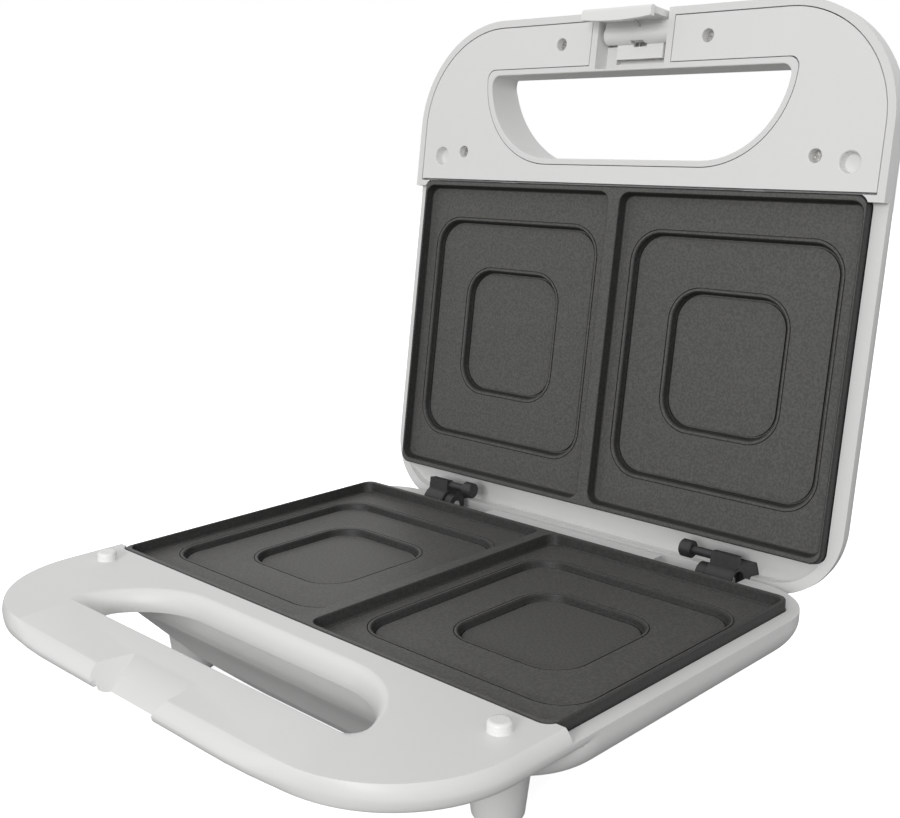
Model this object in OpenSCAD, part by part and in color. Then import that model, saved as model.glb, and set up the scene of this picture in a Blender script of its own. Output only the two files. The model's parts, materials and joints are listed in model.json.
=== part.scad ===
// Two-slot sandwich toaster: a base and a hinged lid, each with a stepped cooking plate, joined at the rear
// by two lugs and pinned arms and held shut by a latch on the carry handle.
// Sizes are first laid out with the toaster shut: X to the right, Y from the handle to the hinge, Z up,
// with zero on the line where the two plates meet, midway along the front edge of the plates.
// The finished model stands open with its feet on Z = 0.

/* [Cooking plates] */
// Depth of each plate, handle side to hinge side
plate_d = 135; // [128:1:138]
// Corner radius of the plate
plate_r = 4.5; // [3:0.5:8]
// Wall thickness of the plate casting
plate_t = 3; // [2.4:0.1:3.6]
// Width of the level rim round the plate
rim_w = 2.4; // [2:0.1:4]
// Depth of the tray below the rim
tray_depth = 4.5; // [3:0.1:5]
// Depth of the wide step below the tray
step_depth = 2.4; // [1.5:0.1:3]
// Depth of the middle step below the wide step
centre_depth = 2.4; // [1.5:0.1:3]
// Width of the ridge between the two pockets
divider_w = 3.6; // [2.5:0.1:6]
// Level band of the tray left and right of the wide step
tray_band_x = 7.4; // [6:0.1:10]
// Level band of the tray before and behind the wide step
tray_band_y = 15.6; // [12:0.1:20]
// Level band of the wide step left and right of the middle step
step_band_x = 20; // [16:1:24]
// Level band of the wide step before and behind the middle step
step_band_y = 22; // [18:1:26]
// Corner radius of both steps
step_r = 12; // [8:0.5:14]
// How far the plate edge stands proud of the ledge beside it
plate_proud = 4.2; // [3:0.1:5]
// Depth of the plate skirt below the rim
skirt_h = 9; // [8:0.5:10]

/* [Body] */
// Width of base and lid
body_w = 232; // [226:1:240]
// Width of the ledge beside each plate
side_ledge = 6; // [5:0.5:8]
// Reach of the lid handle in front of the plates
handle_reach = 71; // [68:1:78]
// How far base and lid run on behind the plates
rear_run = 15.5; // [15:0.5:17]
// Corner radius at the handle
corner_front = 46; // [38:1:50]
// Corner radius at the hinge side
corner_rear = 28; // [20:1:32]
// Wall thickness of the moulded shells
wall = 2.6; // [2:0.1:3]
// Gap between base and lid when shut
shut_gap = 0.3; // [0.3:0.05:0.6]
// How far the lid overhangs the base at the handle
lid_overhang = 2.6; // [2:0.1:3]

/* [Base] */
// Depth of the bowl below the rim
bowl_depth = 37; // [35:1:42]
// Thickness of the lower handle
grip_t = 8; // [7:0.1:9]
// Height of the rounded upper edge of the lower handle
deck_round = 2.8; // [2:0.1:3.4]
// How far the rounded edge runs in along the front of the lower handle
nose_run = 5.6; // [4:0.1:6.5]
// How far the rounded edge runs in along its sides
side_run = 2.6; // [2:0.1:4]
// Height of the upright stretch of the sides under the ledge
side_drop = 3; // [2:0.1:4]
// Radius of the shoulder where the bowl turns under
shoulder_r = 11; // [8:0.5:12]
// How far the sides of the bowl run in towards the floor
bowl_run = 48; // [36:1:50]
// How far the front and rear walls of the bowl run in
bowl_lean = 15.5; // [12:0.5:18]
// How much thinner the lower grip is along its middle
relief_t = 1.5; // [1:0.1:2]
// Half the length of that thinner stretch
relief_x = 31; // [28:1:34]
// Height of the feet
foot_h = 8.4; // [7:0.1:12]
// Diameter of a foot at its lower end
foot_d = 17; // [15:0.5:20]
// Rounding of the lower end of a foot
foot_end_r = 3; // [2:0.5:4]
// Diameter of the pad let into a foot
pad_d = 10; // [8:0.5:11]
// How far the pad stands out of the foot
pad_t = 0.8; // [0.5:0.1:2]
// Distance of the front feet in from the sides of the body
foot_side = 36; // [34:1:42]
// How much further in the rear feet stand
foot_inset = 9; // [6:1:12]
// Distance of the front feet behind the front edge of the plates
foot_front_y = 12.5; // [10:0.5:20]
// Distance of the rear feet in from the rear edge of the body
foot_back = 23.5; // [20:0.5:30]

/* [Handle opening] */
// Radius of the round ends of the lower finger opening
finger_r = 35.5; // [33:0.5:36]
// Distance of those round ends from the centre line
finger_x = 38.5; // [30:0.5:40]
// Y of the centres of the round ends
finger_y = -46.5; // [-48:0.5:-45]
// Width of the lower grip in front of the opening
grip_w_base = 29.6; // [28:0.1:31]
// Width of the upper grip in front of the opening
grip_w_lid = 24; // [23:0.5:27]
// Corner radius at the straight front edge
finger_fillet = 4; // [3:0.5:6]

/* [Lid] */
// Height of the lid above the rim
lid_h = 38; // [36:1:46]
// Height of the upper grip at its front
bar_h = 13.8; // [13:0.2:17]
// How far the sides of the lid run in towards the top
dome_run = 58; // [48:1:64]
// How far the front of the dome runs back towards the top
dome_front_run = 50; // [40:1:60]
// How far the rear of the dome runs in
dome_rear_run = 20; // [14:1:26]
// Thickness of the inner handle cover
cover_t = 2.3; // [2:0.1:3]
// Gap round the inner handle cover
cover_fit = 0.35; // [0.2:0.05:0.6]
// Width of the shell lip outside the cover
lip_w = 3; // [2.8:0.1:3.4]
// Diameter of the locating pins on the base
locator_d = 8.4; // [7:0.1:9]
// Height of the locating pins
locator_h = 3.3; // [2:0.1:4]
// Radial clearance of a locating pin in its hole
locator_fit = 0.4; // [0.3:0.05:0.8]

/* [Hinge] */
// Angle of the open lid
open_angle = 97.86; // [90:0.01:105]
// Distance of the hinge axis behind the plates
hinge_back = 12.6; // [12:0.1:14]
// Z of the hinge axis
hinge_z = -5.7; // [-6.5:0.1:-5]
// Diameter of the hinge pin
hinge_pin_d = 4; // [3:0.1:4.6]
// Radial running clearance of the hinge pin
hinge_fit = 0.05; // [0.02:0.01:0.1]
// Diameter of the barrel on the lid arm
barrel_d = 12.4; // [11:0.1:12.8]
// Distance of the inner end of the barrel from the centre line
barrel_x = 69.6; // [68:0.1:71]
// Length of the barrel
barrel_l = 11.8; // [11:0.1:12.5]
// Diameter of the lug round the hinge pin
lug_d = 9.8; // [8:0.1:10]
// Thickness of the lug
lug_t = 4.2; // [3.5:0.1:4.6]
// Diameter of the bump on the arm
bump_d = 7; // [6:0.1:7]
// Width of the neck between barrel and lid
neck_w = 11; // [10:0.1:11.2]
// Thickness of the neck where it passes into the lid
neck_t = 5.2; // [4:0.1:5.6]

/* [Latch] */
// Width of the latch lever
latch_w = 32; // [28:0.5:34]
// Side clearance of the latch lever in its recess
latch_fit = 1.1; // [0.6:0.1:1.4]
// Distance of the latch pivot behind the front edge
latch_back = 8.5; // [8:0.1:9]
// Z of the latch pivot
latch_z = 6.4; // [6:0.1:7]
// Diameter of the latch pin
latch_pin_d = 3; // [2.5:0.1:3.4]
// Radial running clearance of the latch pin
latch_pin_fit = 0.06; // [0.02:0.01:0.1]
// Thickness of the latch wall and hook
latch_t = 2.6; // [2:0.1:3]
// Depth of the hook below the rim
hook_depth = 12.2; // [11.4:0.1:13]
// Diameter of the wire of the latch spring
wire_d = 1; // [0.8:0.1:1.2]

/* [Heating] */
// Diameter of the heating tube
tube_d = 6.5; // [5:0.1:7]
// Distance between the two long runs of the tube
tube_pitch = 42; // [38:1:46]
// Length of the long runs of the tube
tube_l = 128; // [110:1:140]
// Thickness of the reflector sheet
sheet_t = 0.8; // [0.6:0.1:1.2]
// How far the reflector stops short of the plate at each side
reflector_side = 24; // [22:1:30]
// How far the reflector stops short of the plate at front and rear
reflector_end = 15.5; // [14:0.5:20]

/* [Fixings] */
// Diameter of the small screws
screw_d = 2.9; // [2.5:0.1:3.2]
// Height of a screw head
head_t = 1.5; // [1.2:0.1:2]
// Length of a screw that bites into a post
screw_bite = 5; // [4:0.5:6]
// Diameter of the screw posts
post_d = 7.4; // [6.4:0.2:8]
// Width of a spring clip
clip_w = 10; // [8:0.5:12]
// Thickness of a spring clip
clip_t = 0.8; // [0.6:0.1:1]

/* [Hidden] */

white = [0.87, 0.87, 0.86];
black = [0.10, 0.10, 0.11];
plate_grey = [0.24, 0.24, 0.23];
steel = [0.72, 0.72, 0.72];

half_w = body_w / 2;
front_y = -handle_reach;
rear_y = plate_d + rear_run;
plate_w = body_w - 2 * side_ledge;
tray_w = plate_w / 2 - divider_w / 2 - rim_w;
tray_d = plate_d - 2 * rim_w;
step_w = tray_w - 2 * tray_band_x;
step_d = tray_d - 2 * tray_band_y;
centre_w = step_w - 2 * step_band_x;
centre_d = step_d - 2 * step_band_y;
finger_front_base = front_y + grip_w_base;
finger_front_lid = front_y + grip_w_lid;
latch_y = front_y + latch_back;
hinge_y = plate_d + hinge_back;
foot_x = half_w - foot_side;
foot_rear_y = rear_y - foot_back;
reflector_w = plate_w - 2 * reflector_side;
reflector_d = plate_d - 2 * reflector_end;
pocket_x = (plate_w + divider_w) / 4;
pocket_y = plate_d / 2;
floor_z = tray_depth + step_depth + centre_depth;
underside = floor_z + plate_t;
seat_fit = 0.4;
seat_w = 2.8;
seat_t = 2.8;
eps = 0.01;
slice_t = 0.02;
hull_fn = 44;
$fn = 64;

screw_hole_d = screw_d + 0.1;

// The finished model: feet on the table, origin under the middle of the overall box
stand_z = bowl_depth + foot_h + pad_t;
function dome_z(a) = plate_proud + (lid_h - plate_proud) * sin(a);
function dome_front(a) = dome_front_y + dome_front_run * (1 - cos(a));
function open_y(y, z) = hinge_y + (y - hinge_y) * cos(open_angle) + (z - hinge_z) * sin(open_angle);
dome_front_y = -12;
dome_step = 15;
lid_back = max([for (a = [0:dome_step:90]) open_y(dome_front(a), dome_z(a))]);
centre_y = (front_y + lid_overhang + lid_back) / 2;

module base_place() {
    translate([0, -centre_y, stand_z]) children();
}

module lid_place() {
    base_place()
        translate([0, hinge_y, hinge_z])
            rotate([-open_angle, 0, 0])
                translate([0, -hinge_y, -hinge_z]) children();
}

// Turns a part drawn for the base over, to serve the lid
module upper() {
    translate([0, 0, shut_gap]) mirror([0, 0, 1]) children();
}

module both_sides() {
    children();
    mirror([1, 0, 0]) children();
}

// Rounded rectangle about the centre line with its own radius for front and rear corners
module outline(hx, y0, y1, r0, r1) {
    translate([-(hx - r0), y0]) square([2 * (hx - r0), r0 + eps]);
    translate([-hx, y0 + r0]) square([2 * hx, y1 - r1 - y0 - r0]);
    translate([-(hx - r1), y1 - r1 - eps]) square([2 * (hx - r1), r1 + eps]);
    for (s = [-1, 1]) {
        translate([s * (hx - r0), y0 + r0]) circle(r0);
        translate([s * (hx - r1), y1 - r1]) circle(r1);
    }
}

module body_outline(e) {
    outline(half_w - e, front_y + e, rear_y - e, corner_front - e, corner_rear - e);
}

// One thin slice of a moulded form, for stacking inside a hull
module slice(z, hx, y0, y1, r0, r1) {
    for (s = [-1, 1]) {
        translate([s * (hx - r0), y0 + r0, z]) cylinder(r = r0, h = slice_t, $fn = hull_fn);
        translate([s * (hx - r1), y1 - r1, z]) cylinder(r = r1, h = slice_t, $fn = hull_fn);
    }
}

// Finger opening: two round ends joined by a straight rear edge and cut off by a straight front edge
module finger_opening(e, front) {
    r = finger_r + e;
    yf = front - e;
    rf = finger_fillet;
    yc = yf + rf;
    xf = finger_x + sqrt(pow(r - rf, 2) - pow(yc - finger_y, 2));
    translate([-finger_x, yc]) square([2 * finger_x, finger_y + r - yc]);
    translate([-xf, yf]) square([2 * xf, rf + eps]);
    for (s = [-1, 1]) {
        translate([s * xf, yc]) circle(rf);
        intersection() {
            translate([s * finger_x, finger_y]) circle(r);
            translate([-half_w, yc]) square([body_w, 2 * r]);
        }
    }
}

// Footprint of a plate, grown by e
module plate_outline(e) {
    outline(plate_w / 2 + e, -e, plate_d + e, plate_r + max(e, -2), plate_r + max(e, -2));
}

// ---------------------------------------------------------------- cooking plates

// One square recess of a pocket
module recess(w, d, r) {
    translate([pocket_x, pocket_y - d / 2]) outline(w / 2, 0, d, r, r);
}

// Plate casting for the base: rim and divider at Z = 0, three levels going down, skirt round the edge
module plate() {
    difference() {
        union() {
            translate([0, 0, -tray_depth - plate_t])
                linear_extrude(tray_depth + plate_t) plate_outline(0);
            both_sides() {
                translate([0, 0, -tray_depth - step_depth - plate_t])
                    linear_extrude(step_depth + eps) recess(step_w + 2 * plate_t, step_d + 2 * plate_t, step_r);
                translate([0, 0, -underside])
                    linear_extrude(centre_depth + eps)
                        recess(centre_w + 2 * plate_t, centre_d + 2 * plate_t, step_r);
            }
            translate([0, 0, -skirt_h]) linear_extrude(skirt_h) difference() {
                plate_outline(0);
                plate_outline(-rim_w);
            }
            // Bosses for the screws of the element clamps and the thermostat
            for (x = [-clamp_x, clamp_x])
                translate([x, pocket_y, -clamp_z]) cylinder(d = post_d, h = clamp_z - tray_depth);
        }
        both_sides() {
            translate([0, 0, -tray_depth]) linear_extrude(tray_depth + 1)
                recess(tray_w, tray_d, plate_r);
            translate([0, 0, -tray_depth - step_depth]) linear_extrude(floor_z)
                recess(step_w, step_d, step_r);
            translate([0, 0, -floor_z]) linear_extrude(floor_z + 1)
                recess(centre_w, centre_d, step_r);
        }
        for (x = [-clamp_x, clamp_x])
            translate([x, pocket_y, -clamp_z - 1]) cylinder(d = screw_hole_d, h = clamp_depth + 1);
        // Grooves for the teeth of the spring clips
        for (x = [-clip_x, clip_x])
            translate([x - clip_w / 2 - clip_fit, -1, -clip_tooth_z - clip_fit])
                cube([clip_w + 2 * clip_fit, 2.3, clip_t + 2 * clip_fit]);
    }
}

clamp_x = 17;
tube_z = underside + tube_d / 2;
clamp_z = tube_z + tube_d / 2;
clamp_depth = 6;
clamp_t = 1.2;
clamp_w = 12;

// Heating tube: two long runs under the middle steps, joined by a bend at one end
module element() {
    bend_r = tube_pitch / 2;
    x0 = tube_l / 2;
    translate([0, pocket_y, -tube_z]) {
        for (s = [-1, 1])
            translate([-x0, s * bend_r, 0]) rotate([0, 90, 0]) cylinder(d = tube_d, h = tube_l);
        translate([-x0, 0, 0]) rotate([0, 0, 90]) rotate_extrude(angle = 180)
            translate([bend_r, 0]) circle(d = tube_d, $fn = 32);
        // Terminal stubs
        for (s = [-1, 1])
            translate([x0, s * bend_r, 0]) rotate([0, 90, 0]) cylinder(d = tube_d / 2, h = 12);
    }
}

// Straps that press the heating tube to the plate, each with its screw
module clamps() {
    for (x = [-clamp_x, clamp_x]) {
        translate([x, pocket_y, -clamp_z - clamp_t]) {
            difference() {
                translate([-clamp_w / 2, -(tube_pitch + tube_d) / 2, 0])
                    cube([clamp_w, tube_pitch + tube_d, clamp_t]);
                translate([0, 0, -1]) cylinder(d = screw_hole_d, h = clamp_t + 2);
            }
            translate([0, 0, -head_t]) cylinder(d = screw_d * 2, h = head_t);
            translate([0, 0, -eps]) cylinder(d = screw_d, h = clamp_depth);
        }
    }
}

reflector_z = 23;
reflector_rim = 4;
reflector_post_inset = 16;
reflector_post_x = reflector_w / 2 - reflector_post_inset;
reflector_post_y = reflector_d / 2 - reflector_post_inset + 2;

// Shallow sheet tray behind the heating tube
module reflector() {
    y0 = pocket_y - reflector_d / 2;
    difference() {
        translate([0, 0, -reflector_z]) linear_extrude(reflector_rim)
            outline(reflector_w / 2, y0, y0 + reflector_d, 10, 10);
        translate([0, 0, -reflector_z + sheet_t]) linear_extrude(reflector_rim)
            outline(reflector_w / 2 - sheet_t, y0 + sheet_t, y0 + reflector_d - sheet_t,
                10 - sheet_t, 10 - sheet_t);
        reflector_holes() translate([0, 0, -reflector_z - 1]) cylinder(d = screw_hole_d, h = sheet_t + 2);
    }
    reflector_holes() {
        translate([0, 0, -reflector_z + sheet_t]) cylinder(d = screw_d * 2, h = head_t);
        translate([0, 0, -reflector_z - screw_bite]) cylinder(d = screw_d, h = screw_bite + sheet_t + eps);
    }
}

module reflector_holes() {
    for (sx = [-1, 1], sy = [-1, 1])
        translate([sx * reflector_post_x, pocket_y + sy * reflector_post_y, 0]) children();
}

clip_x = 62;
clip_fit = 0.3;
clip_gap = 0.8;
clip_tooth_z = 5;
clip_z = skirt_h + seat_t;

// Spring clips that hold the front edge of the plate down: foot under the deck, leg, tooth in a groove
module clips() {
    leg_y = -clip_gap - clip_t;
    for (x = [-clip_x, clip_x])
        translate([x - clip_w / 2, 0, 0]) {
            translate([0, leg_y, -clip_z - clip_t]) cube([clip_w, clip_t, clip_z + clip_t - 1.5]);
            translate([0, leg_y - 4, -clip_z - clip_t]) cube([clip_w, 4 + eps, clip_t]);
            translate([0, leg_y, -clip_tooth_z]) cube([clip_w, clip_t + clip_gap + 1, clip_t]);
        }
}

// Slot in the deck that a clip stands in
module clip_slots() {
    for (x = [-clip_x, clip_x])
        translate([x - clip_w / 2 - clip_fit, -clip_gap - clip_t - clip_fit, -clip_z - eps])
            cube([clip_w + 2 * clip_fit, clip_gap + clip_t + clip_fit + eps, clip_z + 1]);
}

// ---------------------------------------------------------------- base

ledge_z = -plate_proud;
ledge_y = 2.5;
bowl_turn = 57;

// Lower handle and deck: a flat slab with rounded edges
module base_slab() {
    module level(z, share) {
        e = side_run * share;
        slice(z, half_w - e, front_y + lid_overhang + nose_run * share, rear_y - e, corner_front, corner_rear - e);
    }
    hull() {
        for (a = [0:30:90]) {
            level(-deck_round * (1 - sin(a)) - slice_t, 1 - cos(a));
            level(-grip_t + (grip_t - deck_round) * (1 - sin(a)), 1 - cos(a));
        }
    }
}

bowl_front_y = -10.5;
bowl_corner = 26;
belly_corner = 42;

// Bowl under the plate: upright sides, round shoulder, straight sloping sides, flat floor; w is how far in
// from outside
module bowl_form(w) {
    shoulder_z = -plate_proud - side_drop;
    turn_e = shoulder_r * (1 - cos(bowl_turn));
    turn_z = shoulder_z - shoulder_r * sin(bowl_turn);
    hull() {
        slice(-plate_proud, half_w - w, bowl_front_y + w, rear_y - w, bowl_corner, bowl_corner);
        for (a = [0:19:bowl_turn]) {
            e = shoulder_r * (1 - cos(a)) + w;
            slice(shoulder_z - shoulder_r * sin(a), half_w - e, bowl_front_y + w, rear_y - e,
                bowl_corner, bowl_corner);
        }
        slice(turn_z + (bowl_depth + turn_z) * -0.83 + w, half_w - bowl_run * 0.8 - w,
            bowl_front_y + bowl_lean * 0.75 + w, rear_y - bowl_lean * 0.75 - turn_e - w, belly_corner, bowl_corner);
        slice(-bowl_depth + w, half_w - bowl_run - w, bowl_front_y + bowl_lean + w,
            rear_y - bowl_lean - turn_e - w, belly_corner, bowl_corner);
    }
}

// Notch in the front of the lower grip that the latch hook reaches through: a ramp between two slanting
// sides; the plan is given from the ramp foot outwards
notch_w = latch_w + 1.2;
notch_face = 4.4;
notch_back = 19;
notch_flare = 1.8;
notch_drop = 5.5;
module latch_notch() {
    foot_y = front_y + notch_face;
    module plan(foot_w) {
        x0 = notch_w / 2 + notch_flare;
        x1 = latch_w / 2 + 0.9;
        polygon([[-x0, front_y - 1], [-x1, foot_y - 0.5], [-foot_w / 2, foot_y],
            [foot_w / 2, foot_y], [x1, foot_y - 0.5], [x0, front_y - 1]]);
    }
    hull() {
        translate([0, 0, -grip_t - 1]) linear_extrude(grip_t + 1 - notch_drop) plan(latch_w - 3.2);
        linear_extrude(1) plan(notch_w);
        translate([-notch_w / 2, front_y + notch_back, 0]) cube([notch_w, eps, 1]);
    }
}

// Thinner middle of the lower grip, with a rib left under the notch for the hook to catch
catch_w = latch_w;
catch_d = 5;
module grip_relief() {
    difference() {
        translate([-relief_x, front_y - 1, -grip_t - eps])
            cube([2 * relief_x, finger_front_base - front_y + 2, relief_t + eps]);
        translate([-catch_w / 2, front_y + notch_face, -grip_t - 1]) cube([catch_w, catch_d, relief_t + 2]);
    }
}

// Pockets in the rear deck for the hinge
pocket_floor = -13.2;
hinge_pocket_x0 = 45;
hinge_pocket_x1 = 83;
hinge_pocket_y0 = hinge_y - barrel_d;
module hinge_pocket(g) {
    translate([hinge_pocket_x0 - g, hinge_pocket_y0 - g, pocket_floor - g])
        cube([hinge_pocket_x1 - hinge_pocket_x0 + 2 * g, rear_run + 6 + g, -pocket_floor + 2 * g]);
}

lug_screw_inset = 6;
lug_screw_x = hinge_pocket_x0 + lug_screw_inset;
lug_screw_y = hinge_pocket_y0 + lug_screw_inset;
lug_foot_t = 1.8;
lug_foot_d = 11;
lug_screw_l = 9;

bush_x = -30;
bush_z = -21;
bush_d = 12;
cord_d = 7;
bush_back = 1.5;
bush_y = rear_y - bush_back;

foot_flare = 6;
foot_root = 19;
pad_seat = 1.5;
module foot_places() {
    for (s = [-1, 1]) {
        translate([s * foot_x, foot_front_y, -bowl_depth - foot_h]) children();
        translate([s * (foot_x - foot_inset), foot_rear_y, -bowl_depth - foot_h]) children();
    }
}

module feet() {
    r = foot_d / 2 - foot_end_r;
    foot_places() rotate_extrude() polygon(concat([[0, 0]],
        [for (a = [-90:15:0]) [r + foot_end_r * cos(a), foot_end_r + foot_end_r * sin(a)]],
        [[(foot_d + foot_flare) / 2, foot_h + foot_root], [0, foot_h + foot_root]]));
}

// Boss inside the rear wall that carries the inlet bush
bush_l = 14;
module bush_boss() {
    translate([bush_x, bush_y - bush_l, bush_z]) rotate([-90, 0, 0]) cylinder(d = bush_d + 6, h = bush_l);
}

module base_shell() {
    base_place() color(white) difference() {
        difference() {
            union() {
                base_slab();
                bowl_form(0);
                feet();
                bush_boss();
            }
            // Room inside the bowl
            difference() {
                intersection() {
                    bowl_form(wall);
                    translate([-half_w, -handle_reach, -bowl_depth])
                        cube([body_w, 2 * handle_reach + plate_d, bowl_depth - clip_z]);
                }
                both_sides() hinge_pocket(wall);
                both_sides() translate([lug_screw_x, lug_screw_y, pocket_floor - lug_screw_l])
                    cylinder(d = post_d, h = lug_screw_l);
                reflector_holes() translate([0, 0, -bowl_depth])
                    cylinder(d = post_d, h = bowl_depth - reflector_z);
                bush_boss();
            }
        }
        // Seat of the plate: full size down to the skirt, then narrower
        translate([0, 0, -skirt_h]) linear_extrude(skirt_h + 1) plate_outline(seat_fit);
        translate([0, 0, -clip_z - eps]) linear_extrude(seat_t + 1) difference() {
            plate_outline(-seat_w);
            both_sides() translate([hinge_pocket_x0 - wall, hinge_pocket_y0 - wall])
                square([hinge_pocket_x1 - hinge_pocket_x0 + 2 * wall, rear_run]);
        }
        // Ledge beside and behind the plate
        translate([-half_w - 1, ledge_y, ledge_z]) cube([body_w + 2, rear_y, plate_proud + 1]);
        // Finger opening
        translate([0, 0, -grip_t - 1]) linear_extrude(grip_t + 2) finger_opening(0, finger_front_base);
        latch_notch();
        grip_relief();
        clip_slots();
        for (s = [-1, 1])
            translate([s * locator_x, locator_y, -locator_seat]) cylinder(d = locator_d - 2, h = locator_seat + 1);
        both_sides() hinge_pocket(0);
        both_sides() translate([lug_screw_x, lug_screw_y, pocket_floor - lug_screw_l + 2])
            cylinder(d = screw_hole_d, h = lug_screw_l);
        reflector_holes() translate([0, 0, -reflector_z - screw_bite - 1])
            cylinder(d = screw_hole_d, h = screw_bite + 2);
        translate([bush_x, bush_y - bush_l - 1, bush_z]) rotate([-90, 0, 0])
            cylinder(d = bush_d + 0.1, h = bush_l + 6);
        foot_places() translate([0, 0, -eps]) cylinder(d = pad_d + 0.2, h = pad_seat + eps);
    }
}

module foot_pads() {
    base_place() color([0.45, 0.45, 0.45]) foot_places()
        translate([0, 0, -pad_t]) cylinder(d = pad_d, h = pad_t + pad_seat - 0.1);
}

locator_inset = 14.8;
locator_x = half_w - locator_inset;
locator_y = -11.3;
locator_seat = 4;

module locating_pins() {
    base_place() color(white)
        for (s = [-1, 1])
            translate([s * locator_x, locator_y, 0]) {
                rotate_extrude() polygon([[0, 0], [locator_d / 2, 0], [locator_d / 2, locator_h - 1],
                    [locator_d / 2 - 1, locator_h], [0, locator_h]]);
                translate([0, 0, -locator_seat + 0.2]) cylinder(d = locator_d - 2.1, h = locator_seat);
            }
}

module lower_plate() {
    base_place() color(plate_grey) plate();
}

module lower_element() {
    base_place() color([0.35, 0.33, 0.32]) element();
}

module lower_clamps() {
    base_place() color(steel) clamps();
}

module lower_reflector() {
    base_place() color(steel) reflector();
}

module lower_clips() {
    base_place() color(steel) clips();
}

// Lugs that carry the hinge pins, each on a foot screwed to the pocket floor
module hinge_lugs() {
    x1 = barrel_x - 0.3;
    x0 = x1 - lug_t;
    foot_x0 = hinge_pocket_x0 + 1;
    base_place() color(black) both_sides() difference() {
        union() {
            translate([x0, hinge_y, hinge_z]) rotate([0, 90, 0]) cylinder(d = lug_d, h = lug_t);
            translate([x0, hinge_y - lug_d / 2 + 0.4, pocket_floor])
                cube([lug_t, lug_d - 0.8, hinge_z - pocket_floor]);
            translate([foot_x0, hinge_pocket_y0 + 1, pocket_floor])
                cube([x1 - foot_x0, lug_foot_d, lug_foot_t]);
        }
        translate([x0 - 1, hinge_y, hinge_z]) rotate([0, 90, 0]) cylinder(d = hinge_pin_d, h = lug_t + 2);
        translate([lug_screw_x, lug_screw_y, pocket_floor - 1]) cylinder(d = screw_hole_d, h = lug_foot_t + 2);
    }
}

module hinge_pins() {
    x1 = barrel_x - 0.3;
    base_place() color(steel) both_sides()
        translate([x1 - lug_t, hinge_y, hinge_z]) rotate([0, 90, 0])
            cylinder(d = hinge_pin_d, h = lug_t + 0.3 + barrel_l - 2);
}

module lug_screws() {
    base_place() color(steel) both_sides()
        translate([lug_screw_x, lug_screw_y, pocket_floor + lug_foot_t]) {
            cylinder(d = screw_d * 1.8, h = head_t);
            translate([0, 0, -lug_foot_t - screw_bite]) cylinder(d = screw_d, h = lug_foot_t + screw_bite + eps);
        }
}

thermostat_d = 14;
thermostat_h = 8;
tab_w = 4;
tab_l = 6;
tab_x = 5;
module thermostat() {
    top = tray_depth + plate_t;
    base_place() color(black)
        translate([0, pocket_y, -top - thermostat_h]) {
            cylinder(d = thermostat_d, h = thermostat_h);
            for (s = [-1, 1])
                translate([-tab_w / 2, s * tab_x - 0.4, -tab_l]) cube([tab_w, 0.8, tab_l + eps]);
        }
}

fuse_d = 4.4;
fuse_l = 16;
module thermal_fuse() {
    base_place() color([0.92, 0.92, 0.9])
        translate([pocket_x, pocket_y - fuse_l / 2, -underside - fuse_d / 2]) rotate([-90, 0, 0])
            cylinder(d = fuse_d, h = fuse_l);
}

terminal_w = 30;
terminal_d = 16;
terminal_h = 10;
terminal_pitch = 9;
terminal_reach = 47;
terminal_y = bush_y - terminal_reach;
module terminal_block() {
    base_place() color([0.9, 0.9, 0.88]) translate([bush_x, terminal_y, -bowl_depth + wall]) difference() {
        translate([-terminal_w / 2, 0, 0]) cube([terminal_w, terminal_d, terminal_h]);
        for (i = [-1:1])
            translate([i * terminal_pitch, -1, terminal_h / 2]) rotate([-90, 0, 0])
                cylinder(d = 4, h = terminal_d + 2);
    }
}

// Bush that lines the hole where the supply cord enters
module inlet_bush() {
    base_place() color(black)
        translate([bush_x, bush_y, bush_z]) rotate([-90, 0, 0]) difference() {
            union() {
                translate([0, 0, -bush_l]) cylinder(d = bush_d, h = bush_l + eps);
                cylinder(d = bush_d + 4, h = 2);
            }
            translate([0, 0, -bush_l - 1]) cylinder(d = cord_d, h = bush_l + 6);
        }
}

// ---------------------------------------------------------------- lid

bar_round = 7;

// Outside of the lid: a dome over the plate running down to a rounded grip; w is how far in from outside
module lid_form(w) {
    hull() {
        for (a = [0:dome_step:90]) {
            e = dome_run * (1 - cos(a)) + w;
            slice(dome_z(a) - w * sin(a) - slice_t, half_w - e, dome_front(a) + w,
                rear_y - dome_rear_run * (1 - cos(a)) - w, corner_front, corner_rear - w);
        }
        slice(shut_gap, half_w - w, dome_front_y + w, rear_y - w, corner_front - w, corner_rear - w);
        for (a = [0:22.5:90]) {
            e = bar_round * (1 - cos(a)) + w;
            for (s = [-1, 1])
                translate([s * (half_w - corner_front), front_y + corner_front,
                    bar_h - bar_round * (1 - sin(a)) - w * sin(a)])
                    cylinder(r = corner_front - e, h = slice_t, $fn = hull_fn);
        }
        for (s = [-1, 1])
            translate([s * (half_w - corner_front), front_y + corner_front, shut_gap])
                cylinder(r = corner_front - w, h = slice_t, $fn = hull_fn);
    }
}

recess_w = latch_w + 2 * latch_fit;
recess_wall = 3;
recess_back = finger_front_lid - 1;
recess_top = bar_h - wall;

// Recess of the latch, open downwards and to the front
module latch_recess(g) {
    translate([-recess_w / 2 - g, front_y - 1, -1])
        cube([recess_w + 2 * g, recess_back - front_y + 1 + g, recess_top + 1 + (g > 0 ? wall + 3 : 0)]);
}

// Screws of the inner handle cover: two by the locating holes, two on the grip
cover_screw_y1 = -13.4;
cover_screw_inset = 28.5;
cover_screw_x1 = half_w - cover_screw_inset;
cover_screw_y2 = front_y + grip_w_lid / 2;
cover_screw_gap = 19;
cover_screw_x2 = recess_w / 2 + cover_screw_gap;
module cover_screw_places() {
    both_sides() {
        translate([cover_screw_x1, cover_screw_y1, 0]) children();
        translate([cover_screw_x2, cover_screw_y2, 0]) children();
    }
}
cover_well = 5;
cover_boss = 6;
well_d = 6.2;

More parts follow.
